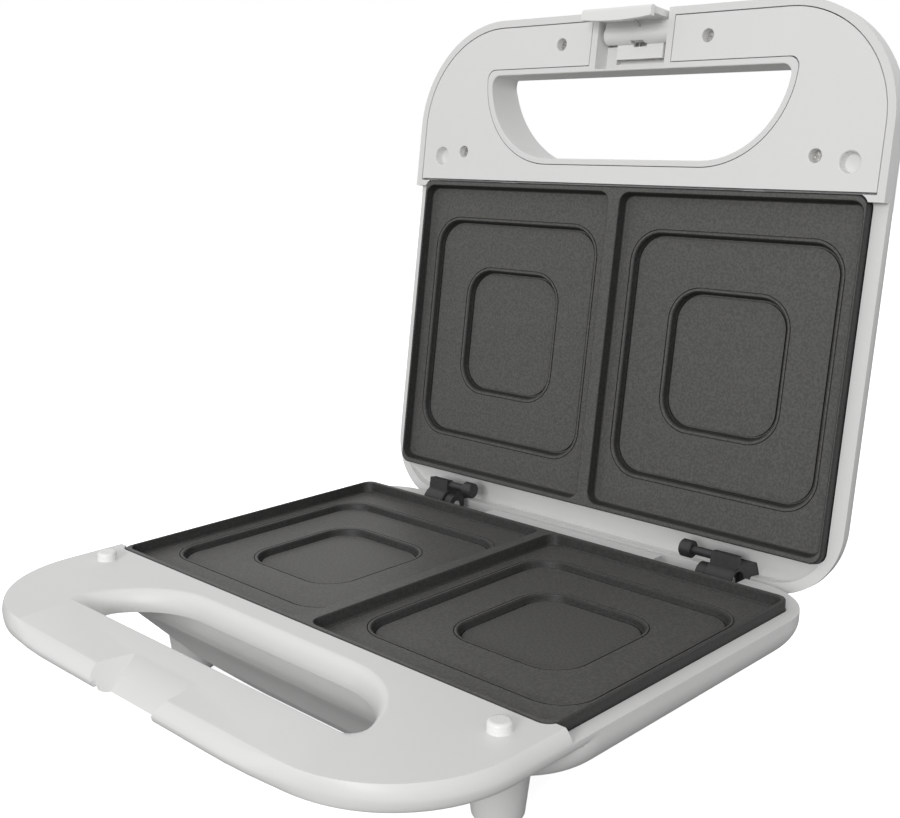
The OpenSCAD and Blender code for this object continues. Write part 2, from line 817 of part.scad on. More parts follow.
lid_ledge = plate_proud + shut_gap;
lid_deck = clip_z + shut_gap;

// Hinge arm: its neck passes through a slot in the rear ledge, and its foot lies inside the lid, below the
// plate, where two screws hold it to posts
neck_x = barrel_x + 0.4;
neck_y = hinge_y - barrel_d / 2;
neck_fit = 0.2;
arm_foot_t = 2.3;
arm_foot_l = 28;
arm_screw_reach = 15.4;
arm_screw_inset = 1.5;
arm_screw_y = neck_y - arm_screw_reach;
module arm_screw_places() {
    both_sides() for (x = [neck_x + arm_screw_inset, neck_x + neck_w - arm_screw_inset])
        translate([x, arm_screw_y, lid_deck]) children();
}

locator_hole_d = locator_d + 2 * locator_fit;
cup_wall = 1.2;
cup_depth = 4.5;

lamp_x = 9;
lamp_y = 6;
lamp_pad_z = 22;
lens_d = 6;
lens_head_d = 7.6;

module lid_shell() {
    lid_place() color(white) difference() {
        lid_form(0);
        // Room inside
        difference() {
            intersection() {
                lid_form(wall);
                translate([-half_w, -handle_reach, shut_gap + cover_t - eps])
                    cube([body_w, 2 * handle_reach + plate_d, lid_h]);
            }
            // Wall round the finger opening
            translate([0, 0, -1]) linear_extrude(lid_h)
                finger_opening(opening_wall + wall_foot, finger_front_lid);
            latch_recess(recess_wall + wall_foot);
            // Front wall of the dome, rear deck and the seat of the plate
            translate([-half_w, finger_y + finger_r + opening_wall - 0.3, lid_ledge])
                cube([body_w, rear_y - finger_y, clip_z - plate_proud]);
            cover_screw_places() translate([0, 0, cover_boss]) cylinder(d = post_d, h = lid_h);
            arm_screw_places() translate([0, 0, arm_foot_t]) cylinder(d = post_d, h = lid_h);
            translate([-lamp_x - 7, lamp_y - 7, lamp_pad_z]) cube([2 * lamp_x + 14, 14, lid_h]);
            upper() reflector_holes() translate([0, 0, -lid_h - 1]) cylinder(d = post_d, h = lid_h + 1 - reflector_z);
        }
        // Seat of the cover
        translate([0, 0, -1]) linear_extrude(shut_gap + cover_t + 1) difference() {
            intersection() {
                body_outline(lip_w);
                translate([-half_w, front_y]) square([body_w, handle_reach]);
            }
            finger_opening(opening_wall, finger_front_lid);
            translate([-recess_w / 2 - recess_wall, front_y - 1])
                square([recess_w + 2 * recess_wall, recess_back - front_y + 1 + recess_wall]);
        }
        // Ledge beside and behind the plate
        translate([-half_w - 1, ledge_y, -1]) cube([body_w + 2, rear_y, lid_ledge + 1]);
        upper() {
            translate([0, 0, -skirt_h]) linear_extrude(skirt_h + 1) plate_outline(seat_fit);
            translate([0, 0, -clip_z - eps]) linear_extrude(seat_t + 1) plate_outline(-seat_w);
            clip_slots();
        }
        translate([0, 0, -1]) linear_extrude(lid_h + 2) finger_opening(0, finger_front_lid);
        latch_recess(0);
        translate([0, latch_y, latch_z]) rotate([0, 90, 0])
            cylinder(d = latch_pin_d, h = recess_w + 2 * recess_wall - 1, center = true);
        cover_screw_places() translate([0, 0, -1]) cylinder(d = screw_hole_d, h = cover_boss + 7);
        both_sides() translate([neck_x - neck_fit, neck_y - neck_fit, 0])
            cube([neck_w + 2 * neck_fit, neck_t + 2 * neck_fit, lid_deck + 1]);
        arm_screw_places() cylinder(d = screw_hole_d, h = arm_foot_t + screw_bite + 1);
        // Room for the cups of the locating holes
        for (s = [-1, 1])
            translate([s * locator_x, locator_y, 0])
                cylinder(d = locator_hole_d + 2 * cup_wall + 0.8, h = shut_gap + cup_depth + cup_wall + 0.4);
        for (s = [-1, 1])
            translate([s * lamp_x, lamp_y, 0]) cylinder(d = lens_d + 0.2, h = lid_h + 2);
        upper() reflector_holes() translate([0, 0, -reflector_z - screw_bite - 1])
            cylinder(d = screw_hole_d, h = screw_bite + 2);
    }
}

opening_wall = 2.4;
wall_foot = 0.4;
cover_rear = -0.9;

module handle_cover() {
    lid_place() color(white) translate([0, 0, shut_gap]) difference() {
        union() {
            linear_extrude(cover_t) difference() {
                intersection() {
                    body_outline(lip_w + cover_fit);
                    translate([-half_w, front_y]) square([body_w, handle_reach + cover_rear]);
                }
                finger_opening(opening_wall + cover_fit, finger_front_lid);
                translate([-recess_w / 2 - recess_wall - cover_fit, front_y - 1])
                    square([recess_w + 2 * recess_wall + 2 * cover_fit,
                        recess_back - front_y + 1 + recess_wall + cover_fit]);
            }
            cover_screw_places() cylinder(d = well_d + 2.2, h = cover_boss - shut_gap);
            for (s = [-1, 1])
                translate([s * locator_x, locator_y, 0])
                    cylinder(d = locator_hole_d + 2 * cup_wall, h = cup_depth + cup_wall);
        }
        cover_screw_places() {
            translate([0, 0, -1]) cylinder(d = well_d, h = cover_well - shut_gap + 1);
            cylinder(d = screw_hole_d, h = cover_boss);
        }
        for (s = [-1, 1])
            translate([s * locator_x, locator_y, -1]) cylinder(d = locator_hole_d, h = cup_depth + 1);
        mirror([0, 0, 1]) clip_slots();
    }
}

module cover_screws() {
    lid_place() color(steel) cover_screw_places() {
        difference() {
            translate([0, 0, cover_well - head_t]) cylinder(d = screw_d * 1.9, h = head_t);
            for (a = [0, 90])
                translate([0, 0, cover_well - head_t]) rotate([0, 0, a]) cube([3.4, 0.7, 1], center = true);
        }
        translate([0, 0, cover_well - eps]) cylinder(d = screw_d, h = 7);
    }
}

module upper_plate() {
    lid_place() color(plate_grey) upper() plate();
}

module upper_element() {
    lid_place() color([0.35, 0.33, 0.32]) upper() element();
}

module upper_clamps() {
    lid_place() color(steel) upper() clamps();
}

module upper_reflector() {
    lid_place() color(steel) upper() reflector();
}

module upper_clips() {
    lid_place() color(steel) upper() clips();
}

// Arms on the lid: barrel on the hinge pin, a small bump beside it, neck and foot
bump_l = 5.2;
bump_back = 8.3;
bump_gap = 8.7;
web_back = 11.2;
web_drop = 2.5;
web_top = -0.9;
module hinge_arms() {
    bump_y = hinge_y - bump_back;
    lid_place() color(black) both_sides() difference() {
        union() {
            translate([barrel_x, hinge_y, hinge_z]) rotate([0, 90, 0]) cylinder(d = barrel_d, h = barrel_l);
            translate([neck_x, neck_y, hinge_z]) {
                cube([neck_w, barrel_d / 2 + 2.4, lid_ledge - hinge_z - 0.2]);
                cube([neck_w, neck_t, lid_deck + arm_foot_t - hinge_z]);
            }
            translate([neck_x - 2, neck_y + neck_t - arm_foot_l, lid_deck])
                cube([neck_w + 4, arm_foot_l, arm_foot_t]);
            // Web in front of the ledge, and the bump that stands out of it on a thin stem
            translate([neck_x, hinge_y - web_back, hinge_z - web_drop])
                cube([neck_w, web_back - barrel_d / 4, web_top - hinge_z + web_drop]);
            translate([barrel_x - bump_gap - bump_l, bump_y, hinge_z]) rotate([0, 90, 0])
                cylinder(d = bump_d, h = bump_l);
            translate([barrel_x - bump_gap - 1, bump_y, hinge_z]) rotate([0, 90, 0])
                cylinder(d = bump_d / 2, h = bump_gap + 3);
        }
        translate([barrel_x - 1, hinge_y, hinge_z]) rotate([0, 90, 0])
            cylinder(d = hinge_pin_d + 2 * hinge_fit, h = barrel_l + 2);
        for (x = [neck_x + arm_screw_inset, neck_x + neck_w - arm_screw_inset])
            translate([x, arm_screw_y, lid_deck - 1]) cylinder(d = screw_hole_d, h = arm_foot_t + 2);
    }
}

module arm_screws() {
    lid_place() color(steel) arm_screw_places() {
        translate([0, 0, -head_t]) cylinder(d = screw_d * 1.9, h = head_t);
        translate([0, 0, -eps]) cylinder(d = screw_d, h = arm_foot_t + screw_bite);
    }
}

lens_top = 32.3;
module lamp_lenses() {
    for (s = [-1, 1])
        lid_place() color(s < 0 ? [0.75, 0.1, 0.08] : [0.1, 0.55, 0.2])
            translate([s * lamp_x, lamp_y, 0]) {
                translate([0, 0, lamp_pad_z]) cylinder(d = lens_d, h = lens_top - lamp_pad_z);
            }
}

module neon_lamps() {
    lid_place() color([0.9, 0.6, 0.4]) for (s = [-1, 1])
        translate([s * lamp_x, lamp_y, lamp_pad_z - 9]) cylinder(d = 5, h = 9);
}

module lamp_holder() {
    lid_place() color(white) difference() {
        translate([-lamp_x - 6, lamp_y - 5, lamp_pad_z - 8]) cube([2 * lamp_x + 12, 10, 8]);
        for (s = [-1, 1])
            translate([s * lamp_x, lamp_y, lamp_pad_z - 10]) cylinder(d = 5.1, h = 12);
    }
}

// ---------------------------------------------------------------- latch

module latch_pin() {
    lid_place() color(steel) translate([0, latch_y, latch_z]) rotate([0, 90, 0])
        cylinder(d = latch_pin_d, h = recess_w + 2 * recess_wall - 1.2, center = true);
}

latch_face = front_y + 1.2;
hub_r = 3.8;
lever_rise = 2.3;
web_t = 2.8;
hook_reach = 5.6;
top_r = 2;

// Torsion spring on the pin, in a gap of the hub: coils, a leg to the top of the recess and a leg to the
// front wall of the lever
coils = 5;
coil_r = 2.9;
coil_pitch = wire_d * 0.9;
leg_d = wire_d * 0.85;
leg_l = 7;
spring_gap = coils * coil_pitch + 2;
module latch_spring() {
    x1 = (coils - 1) / 2 * coil_pitch;
    leg_top = recess_top - latch_z - leg_d / 2 - 0.03;
    leg_front = latch_face + latch_t + leg_d / 2 + 0.1 - latch_y;
    leave = coil_r * sin(45);
    leg_x = x1 - wire_d / 9;
    lid_place() color(steel) translate([0, latch_y, latch_z]) {
        rotate([0, 90, 0]) rotate_extrude($fn = 48)
            for (i = [0:coils - 1]) translate([coil_r, -x1 + i * coil_pitch]) circle(d = wire_d, $fn = 16);
        rod([-leg_x, leave, leave], [-leg_x, leg_l + leave, leg_top]);
        rod([leg_x, -leave, -leave], [leg_x, leg_front, -leg_l]);
    }
}

// Straight piece of wire between two points of one plane across the pin
module rod(a, b) {
    run = b - a;
    translate(a) rotate([atan2(-run.y, run.z), 0, 0]) cylinder(d = leg_d, h = norm(run), $fn = 16);
}

// Lever: hub on the pin, wall down the front of the handle, hook under the lower grip
module latch_lever() {
    y0 = latch_face;
    y1 = latch_face + latch_t;
    z_top = latch_z + lever_rise;
    lid_place() color(white) difference() {
        translate([-latch_w / 2, 0, 0]) rotate([90, 0, 90]) linear_extrude(latch_w) difference() {
            union() {
                translate([latch_y, latch_z]) circle(hub_r);
                translate([y0 + 1.5, latch_z - web_t / 2]) square([latch_y - y0 - 1.5, web_t]);
                translate([y0, -hook_depth + latch_t]) square([latch_t, z_top + hook_depth - latch_t - top_r]);
                translate([y0 + top_r, z_top - top_r]) circle(top_r);
                translate([y0 + latch_t, -hook_depth]) square([hook_reach, latch_t]);
                intersection() {
                    translate([y1, -hook_depth + latch_t]) circle(latch_t);
                    translate([y0, -hook_depth]) square(latch_t);
                }
            }
            translate([latch_y, latch_z]) circle(d = latch_pin_d + 2 * latch_pin_fit);
        }
        // Gap for the spring
        translate([-spring_gap / 2, y1, latch_z - hub_r - 1])
            cube([spring_gap, latch_y + hub_r - y1 + 1, 2 * hub_r + 2]);
    }
}

base_shell();
foot_pads();
locating_pins();
lower_plate();
lower_element();
lower_clamps();
lower_reflector();
lower_clips();
hinge_lugs();
hinge_pins();
lug_screws();
thermostat();
thermal_fuse();
terminal_block();
inlet_bush();
lid_shell();
handle_cover();
cover_screws();
upper_plate();
upper_element();
upper_clamps();
upper_reflector();
upper_clips();
hinge_arms();
arm_screws();
lamp_lenses();
neon_lamps();
lamp_holder();
latch_pin();
latch_spring();
latch_lever();
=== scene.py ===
import json
import math

import bmesh
import bpy
from mathutils import Matrix, Vector
from mathutils.bvhtree import BVHTree


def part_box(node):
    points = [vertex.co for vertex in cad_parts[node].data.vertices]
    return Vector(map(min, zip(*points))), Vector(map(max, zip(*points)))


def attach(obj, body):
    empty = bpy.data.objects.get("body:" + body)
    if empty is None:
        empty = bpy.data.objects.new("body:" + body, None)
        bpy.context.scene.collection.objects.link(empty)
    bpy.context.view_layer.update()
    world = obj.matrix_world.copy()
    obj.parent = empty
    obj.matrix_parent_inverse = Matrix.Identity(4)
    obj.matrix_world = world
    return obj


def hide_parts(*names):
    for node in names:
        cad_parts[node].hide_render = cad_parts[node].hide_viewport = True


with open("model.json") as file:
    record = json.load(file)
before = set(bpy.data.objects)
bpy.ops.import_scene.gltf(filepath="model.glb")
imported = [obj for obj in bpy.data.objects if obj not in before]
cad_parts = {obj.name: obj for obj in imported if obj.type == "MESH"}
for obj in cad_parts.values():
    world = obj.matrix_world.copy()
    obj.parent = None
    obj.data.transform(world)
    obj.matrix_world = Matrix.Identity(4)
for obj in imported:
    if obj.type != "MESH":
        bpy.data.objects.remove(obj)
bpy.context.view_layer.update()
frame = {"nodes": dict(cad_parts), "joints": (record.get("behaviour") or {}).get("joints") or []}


# ---------------------------------------------------------------- base shell
# The lower housing is one injection moulding in satin white polypropylene: a deck with the lower half of
# the carry handle, a bowl under the plate and four feet. It is hollow, and carries the lower plate and the
# hinge lugs.
plate_low, plate_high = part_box("lower_plate")
# Drawings are in millimetres, from the middle of the front edge at which the two plates meet when shut.
BASE = Matrix.Translation((0, plate_low.y, plate_high.z)) @ Matrix.Scale(0.001, 4)


def piece(name, mesh):
    made = bpy.data.objects.new(name, mesh)
    bpy.context.scene.collection.objects.link(made)
    return made


def from_bmesh(name, bm):
    bmesh.ops.recalc_face_normals(bm, faces=bm.faces)
    mesh = bpy.data.meshes.new(name)
    bm.to_mesh(mesh)
    bm.free()
    return piece(name, mesh)


def arc(cx, cy, r, start, end, steps):
    return [(cx + r * math.cos(math.radians(start + (end - start) * k / steps)),
             cy + r * math.sin(math.radians(start + (end - start) * k / steps)))
            for k in range(steps + 1)]


def rounded(hx, y0, y1, r0, r1, steps=20, x=0.0):
    """Outline of a rectangle about x with corner radius r0 at the front and r1 at the rear."""
    ring = (arc(hx - r0, y0 + r0, r0, -90, 0, steps) + arc(hx - r1, y1 - r1, r1, 0, 90, steps)
            + arc(r1 - hx, y1 - r1, r1, 90, 180, steps) + arc(r0 - hx, y0 + r0, r0, 180, 270, steps))
    return [(px + x, py) for px, py in ring]


def at(ring, z):
    return [(x, y, z) for x, y in ring]


def hull(name, points):
    bm = bmesh.new()
    for p in points:
        bm.verts.new(p)
    made = bmesh.ops.convex_hull(bm, input=bm.verts)
    spare = [g for g in made["geom_interior"] + made["geom_unused"] if isinstance(g, bmesh.types.BMVert)]
    bmesh.ops.delete(bm, geom=list(set(spare)), context="VERTS")
    bmesh.ops.delete(bm, geom=[v for v in bm.verts if not v.link_faces], context="VERTS")
    return from_bmesh(name, bm)


def loft(name, rings):
    """Closed skin through rings of equally many points, with a flat face at each end."""
    bm = bmesh.new()
    rows = [[bm.verts.new(p) for p in ring] for ring in rings]
    count = len(rows[0])
    for low, high in zip(rows, rows[1:]):
        for k in range(count):
            bm.faces.new((low[k], low[(k + 1) % count], high[(k + 1) % count], high[k]))
    bm.faces.new(list(reversed(rows[0])))
    bm.faces.new(rows[-1])
    return from_bmesh(name, bm)


def upright(ring, z0, z1):
    """Upright solid on one outline, between two heights."""
    return loft("upright", [at(ring, z) for z in (z0, z1)])


def block(x0, x1, y0, y1, z0, z1):
    return loft("block", [[(x0, y0, z), (x1, y0, z), (x1, y1, z), (x0, y1, z)] for z in (z0, z1)])


def turned(name, profile, centre, steps=48, lie=None):
    """Solid turned from (radius, height) pairs about an upright axis, laid over by lie, moved to centre."""
    bm = bmesh.new()
    rows = []
    for r, z in profile:
        if r < 1e-6:
            rows.append([bm.verts.new((0, 0, z))])
        else:
            rows.append([bm.verts.new((r * math.cos(2 * math.pi * k / steps),
                                       r * math.sin(2 * math.pi * k / steps), z)) for k in range(steps)])
    for low, high in zip(rows, rows[1:]):
        for k in range(steps):
            j = (k + 1) % steps
            quad = [low[k % len(low)], low[j % len(low)], high[j % len(high)], high[k % len(high)]]
            quad = [v for i, v in enumerate(quad) if v not in quad[:i]]
            if len(quad) > 2:
                bm.faces.new(quad)
    for row in (rows[0], rows[-1]):
        if len(row) > 1:
            bm.faces.new(row)
    to = Matrix.Translation((*centre, 0) if len(centre) == 2 else centre)
    bmesh.ops.transform(bm, matrix=to @ (lie or Matrix()), verts=bm.verts)
    return from_bmesh(name, bm)


def rod(r, z0, z1):
    """Profile of a plain round rod, for turned."""
    return [(0, z0), (r, z0), (r, z1), (0, z1)]


def settle(made):
    """Makes the result of a piece's modifiers its own mesh."""
    shape = bpy.data.meshes.new_from_object(made.evaluated_get(bpy.context.evaluated_depsgraph_get()))
    made.modifiers.clear()
    made.data = shape
    return made


def combine(target, others, operation):
    for other in others:
        step = target.modifiers.new("join", "BOOLEAN")
        step.solver = "MANIFOLD"
        step.operation = operation
        step.object = other
        bpy.context.view_layer.update()
        settle(target)
        bpy.data.objects.remove(other)
    return target


def cut(target, *others):
    return combine(target, others, "DIFFERENCE")


def join(target, *others):
    return combine(target, others, "UNION")


def keep(target, *others):
    return combine(target, others, "INTERSECT")


def soften(made, width, segments=2, angle=38):
    """Rounds the sharp edges, as a mould leaves them."""
    bm = bmesh.new()
    bm.from_mesh(made.data)
    bmesh.ops.remove_doubles(bm, verts=bm.verts, dist=0.002)
    bmesh.ops.dissolve_degenerate(bm, edges=bm.edges, dist=0.002)
    bmesh.ops.dissolve_limit(bm, angle_limit=math.radians(0.4), verts=bm.verts, edges=bm.edges)
    for face in bm.faces:
        face.smooth = True
    bm.to_mesh(made.data)
    bm.free()
    edge = made.modifiers.new("edge", "BEVEL")
    edge.width = width
    edge.segments = segments
    edge.limit_method = "ANGLE"
    edge.angle_limit = math.radians(angle)
    edge.miter_outer = "MITER_ARC"
    settle(made)
    return made


def shade(made):
    """Smooth shading across shallow edges in which wide faces stay flat."""
    mesh = made.data
    if "custom_normal" in mesh.attributes:
        mesh.attributes.remove(mesh.attributes["custom_normal"])
    around = [[] for _ in mesh.vertices]
    for face in mesh.polygons:
        for corner in face.vertices:
            around[corner].append((face.normal.copy(), face.area))
    limit = math.cos(math.radians(40))
    normals = []
    for face in mesh.polygons:
        for corner in face.vertices:
            total = Vector()
            for normal, area in around[corner]:
                if normal.dot(face.normal) > limit:
                    total += normal * area
            normals.append(total.normalized() if total.length else face.normal.copy())
    mesh.normals_split_custom_set(normals)


def lay(made, place, body, *nodes):
    made.data.transform(place)
    shade(made)
    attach(made, body)
    if nodes:
        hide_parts(*nodes)
    return made


HALF_W, FRONT, REAR = 116.0, -71.0, 150.5
LEDGE = 4.2
GRIP_T = 8.0
WALL = 2.6
PLATE_W, PLATE_D, PLATE_R = 220.0, 135.0, 4.5
SEAT_FIT, SEAT_LEDGE, SEAT_LEDGE_R = 0.4, 2.8, 2.5
FINGER_X, FINGER_Y, FINGER_R = 38.5, -46.5, 35.5


def finger(grow, front, fillet=4.0):
    """Outline of the finger opening: straight front edge, two round ends, straight rear edge."""
    cx, cy, r = FINGER_X, FINGER_Y, FINGER_R + grow
    yc = front - grow + fillet
    xf = cx + math.sqrt((r - fillet) ** 2 - (yc - cy) ** 2)
    meet = math.degrees(math.atan2(yc - cy, xf - cx))
    right = arc(xf, yc, fillet, -90, meet, 7) + arc(cx, cy, r, meet, 90, 28)[1:]
    return right + [(-x, y) for x, y in reversed(right)]


def well(ring, levels):
    """Rings of one outline, each set outwards by a little and put at a height: (offset, z) pairs."""
    normals = []
    for k in range(len(ring)):
        (ax, ay), (bx, by) = ring[k - 1], ring[(k + 1) % len(ring)]
        normals.append(Vector((by - ay, ax - bx)).normalized())
    return [[(x + n.x * out, y + n.y * out, z) for (x, y), n in zip(ring, normals)] for out, z in levels]


def plate_seat(rim, underside):
    """Cutters of a plate's seat: room for its rim and, inside that, for its underside, over two z spans."""
    fit, ledge = SEAT_FIT, SEAT_LEDGE
    outer = rounded(PLATE_W / 2 + fit, -fit, PLATE_D + fit, PLATE_R + fit, PLATE_R + fit, 8)
    inner = rounded(PLATE_W / 2 - ledge, ledge, PLATE_D - ledge, SEAT_LEDGE_R, SEAT_LEDGE_R, 8)
    return upright(outer, *rim), upright(inner, *underside)


DECK_IN, DECK_FRONT, DECK_CORNERS = 2.6, -63.9, (43, 25.4)
NOSE_FRONT, NOSE_CORNERS = -64.2, (44, 28)
NOSE_OUT, NOSE_HALF_W, NOSE_FADE = 4.2, 50, 38
CREASE_DEPTH, CREASE_TURN = 4.2, 0.87
UNDER_SHARE = 0.9
GRIP_STATIONS = (-60, -50, 50, 60)


def slab_points():
    """Deck and grip. The edge is upright at the corners and swells out along the middle of the grip."""
    deck = rounded(HALF_W - DECK_IN, DECK_FRONT, REAR - DECK_IN, *DECK_CORNERS, 24)
    deck += [(x, DECK_FRONT) for x in GRIP_STATIONS]
    plain = rounded(HALF_W, NOSE_FRONT, REAR, *NOSE_CORNERS, 24) + [(x, NOSE_FRONT) for x in GRIP_STATIONS]
    nose = []
    for x, y in plain:
        share = math.cos(math.radians(90 * min(1, max(0, abs(x) - NOSE_HALF_W) / NOSE_FADE))) ** 2
        nose.append((x, y - (NOSE_OUT * share if y < 0 else 0)))
    edge = []
    for k in range(9):
        a = CREASE_TURN * k / 8
        edge.append((0.6 * (1 - math.cos(a)) / (1 - math.cos(CREASE_TURN)) + 0.4 * a / CREASE_TURN,
                     -CREASE_DEPTH * (1 - math.sin(a) / math.sin(CREASE_TURN))))
    for k in range(1, 11):
        a = math.radians(9 * k)
        edge.append((UNDER_SHARE * (1 - math.cos(a)), -CREASE_DEPTH - (GRIP_T - CREASE_DEPTH) * math.sin(a)))
    points = []
    for share, z in edge:
        points += [(wide[0] + (top[0] - wide[0]) * share, wide[1] + (top[1] - wide[1]) * share, z)
                   for top, wide in zip(deck, nose)]
    return points


SIDE_DROP, SHOULDER_R, SHOULDER_TURN = 3, 11, 57
SLOPE_RUN, SLOPE_FOOT, SLOPE_STRAIGHT, FLOOR_TURN = 38.4, -33.5, 0.72, 6
FLOOR_Z = -37
BOWL_FRONT, BOWL_CORNER, LOW_CORNER_MORE = -10.5, 26, 16
BOWL_LEAN, REAR_INSET = 15.5, 5.0


def bowl_levels():
    """(inset, lean share, z) of the bowl: upright rim, round shoulder, sloping side, turn to the floor."""
    levels = [(0, 0, -LEDGE)]
    for k in range(13):
        a = math.radians(SHOULDER_TURN * k / 12)
        levels.append((SHOULDER_R * (1 - math.cos(a)), 0, -LEDGE - SIDE_DROP - SHOULDER_R * math.sin(a)))
    e0, z0 = levels[-1][0], levels[-1][2]
    run, drop = SLOPE_RUN - e0, SLOPE_FOOT - z0
    corner = e0 + run * (FLOOR_Z - z0) / drop
    turn_e, turn_z = e0 + run * SLOPE_STRAIGHT, z0 + drop * SLOPE_STRAIGHT
    for k in range(13):
        t = k / 12
        e = (1 - t) ** 2 * turn_e + 2 * t * (1 - t) * corner + t * t * (corner + FLOOR_TURN)
        z = (1 - t) ** 2 * turn_z + 2 * t * (1 - t) * FLOOR_Z + t * t * FLOOR_Z
        levels.append((e, ((z - z0) / (FLOOR_Z - z0)) ** 1.5, z))
    return levels


def bowl_points(w):
    """Points of the bowl's outside, or of a skin w further in."""
    points = []
    for e, lean, z in bowl_levels():
        y0 = BOWL_FRONT + BOWL_LEAN * lean + w
        y1 = REAR - min(e, REAR_INSET) - BOWL_LEAN * lean - w
        front_corner = BOWL_CORNER + LOW_CORNER_MORE * min(1, lean / 0.75)
        points += at(rounded(HALF_W - e - w, y0, y1, front_corner, BOWL_CORNER, 24), min(z + w * lean, -LEDGE))
    return points


base_shell = hull("base_housing", slab_points())
join(base_shell, hull("bowl", bowl_points(0)))
FEET = [(x, y) for side in (-1, 1) for x, y in ((80 * side, 12.5), (71 * side, 127))]
FOOT_SOLE, FOOT_EDGE_R = -45.4, 3
PAD_HOLLOW_R, PAD_HOLLOW_Z = 5.1, -43.9
foot_skin = [(0, PAD_HOLLOW_Z), (PAD_HOLLOW_R, PAD_HOLLOW_Z), (PAD_HOLLOW_R, FOOT_SOLE)]
foot_skin += arc(5.5, FOOT_SOLE + FOOT_EDGE_R, FOOT_EDGE_R, -90, 0, 10) + [(11.5, -18), (0, -18)]
for foot in FEET:
    join(base_shell, turned("foot", foot_skin, foot))
ROOM_TOP = -11.8
cut(base_shell, keep(hull("room", bowl_points(WALL)), block(-110, 110, -60, 145, -40, ROOM_TOP)))
BUSH_AT, BUSH_BOSS_R, BUSH_HOLE_R = (-30, 0, -21), 9, 6.05
rearward = Matrix.Rotation(-math.pi / 2, 4, "X")
join(base_shell, turned("bush_boss", rod(BUSH_BOSS_R, 135, 149), BUSH_AT, 48, rearward))
cut(base_shell, turned("bush_hole", rod(BUSH_HOLE_R, 130, 155), BUSH_AT, 48, rearward),
    *plate_seat((-9, 1), (-13, -8)), block(-120, 120, 2.5, 160, -LEDGE, 2))

# The walls of the finger opening slope in from the deck; the grip side is rolled by a small radius.
OPENING_FRONT, OPENING_SLOPE, OPENING_TOP, GRIP_ROLL = -41.4, 4.0, 3.0, 1.4
opening = []
for k in range(13):
    a = math.radians(7.5 * k)
    out, z = OPENING_TOP - OPENING_SLOPE * math.sin(a), -GRIP_T * (1 - math.cos(a))
    near = GRIP_ROLL - math.sqrt(GRIP_ROLL ** 2 - (GRIP_ROLL + z) ** 2) if z > -GRIP_ROLL else 0
    opening.append(at(finger(out, OPENING_FRONT + out - near, 3.0 + 6.0 * math.sin(a)), z))
opening = [[(x, y, 3) for x, y, _ in opening[0]]] + opening + [[(x, y, -12) for x, y, _ in opening[-1]]]
cut(base_shell, loft("opening", opening))

# The notch for the latch is a flared ramp with a flat foot. The hook snaps over a rib in a relief below.
notch = [(18.2, -52, 2), (22.5, -72, 2), (16.6, -52, 0), (20.9, -72, 0),
         (14.0, -65.4, -7), (15.4, -72, -7), (12.4, -65.4, -9), (13.8, -72, -9)]
cut(base_shell, hull("notch", [(side * x, y, z) for side in (-1, 1) for x, y, z in notch]),
    block(-16.6, 16.6, -72, -66.6, -9, 2))
relief = block(-31, 31, FRONT - 1, -40.4, -GRIP_T - 1, -GRIP_T + 1.5)
cut(base_shell, cut(relief, block(-16, 16, -66.6, -61.6, -GRIP_T - 2, 0)))
LUG_ROOM_X, LUG_ROOM_Y, LUG_ROOM_Z = (45, 83), 135.2, -13.2
for side in (-1, 1):
    cut(base_shell, block(*sorted(side * x for x in LUG_ROOM_X), LUG_ROOM_Y, 160, LUG_ROOM_Z, 0))
soften(base_shell, 0.5)
lay(base_shell, BASE, "base", "base_shell")


# The mould leaves a fine even grain on the plastic, and the gloss drifts a little over wide faces.
class Wire:
    """An output socket in a finish. Arithmetic on it adds Math nodes."""

    def __init__(self, finish, socket):
        self.finish, self.socket = finish, socket

    def math(self, operation, a, b):
        return self.finish.add("Math", {"operation": operation}, {0: a, 1: b})

    def __add__(self, other):
        return self.math("ADD", self, other)

    def __sub__(self, other):
        return self.math("SUBTRACT", self, other)

    def __rsub__(self, other):
        return self.math("SUBTRACT", other, self)

    def __mul__(self, other):
        return self.math("MULTIPLY", self, other)

    __radd__, __rmul__ = __add__, __mul__

    def steps(self, *stops):
        """The wire's value turned to a grey or colour by (place, level) stops."""
        return self.finish.add("ValToRGB", {"stops": stops}, {0: self})


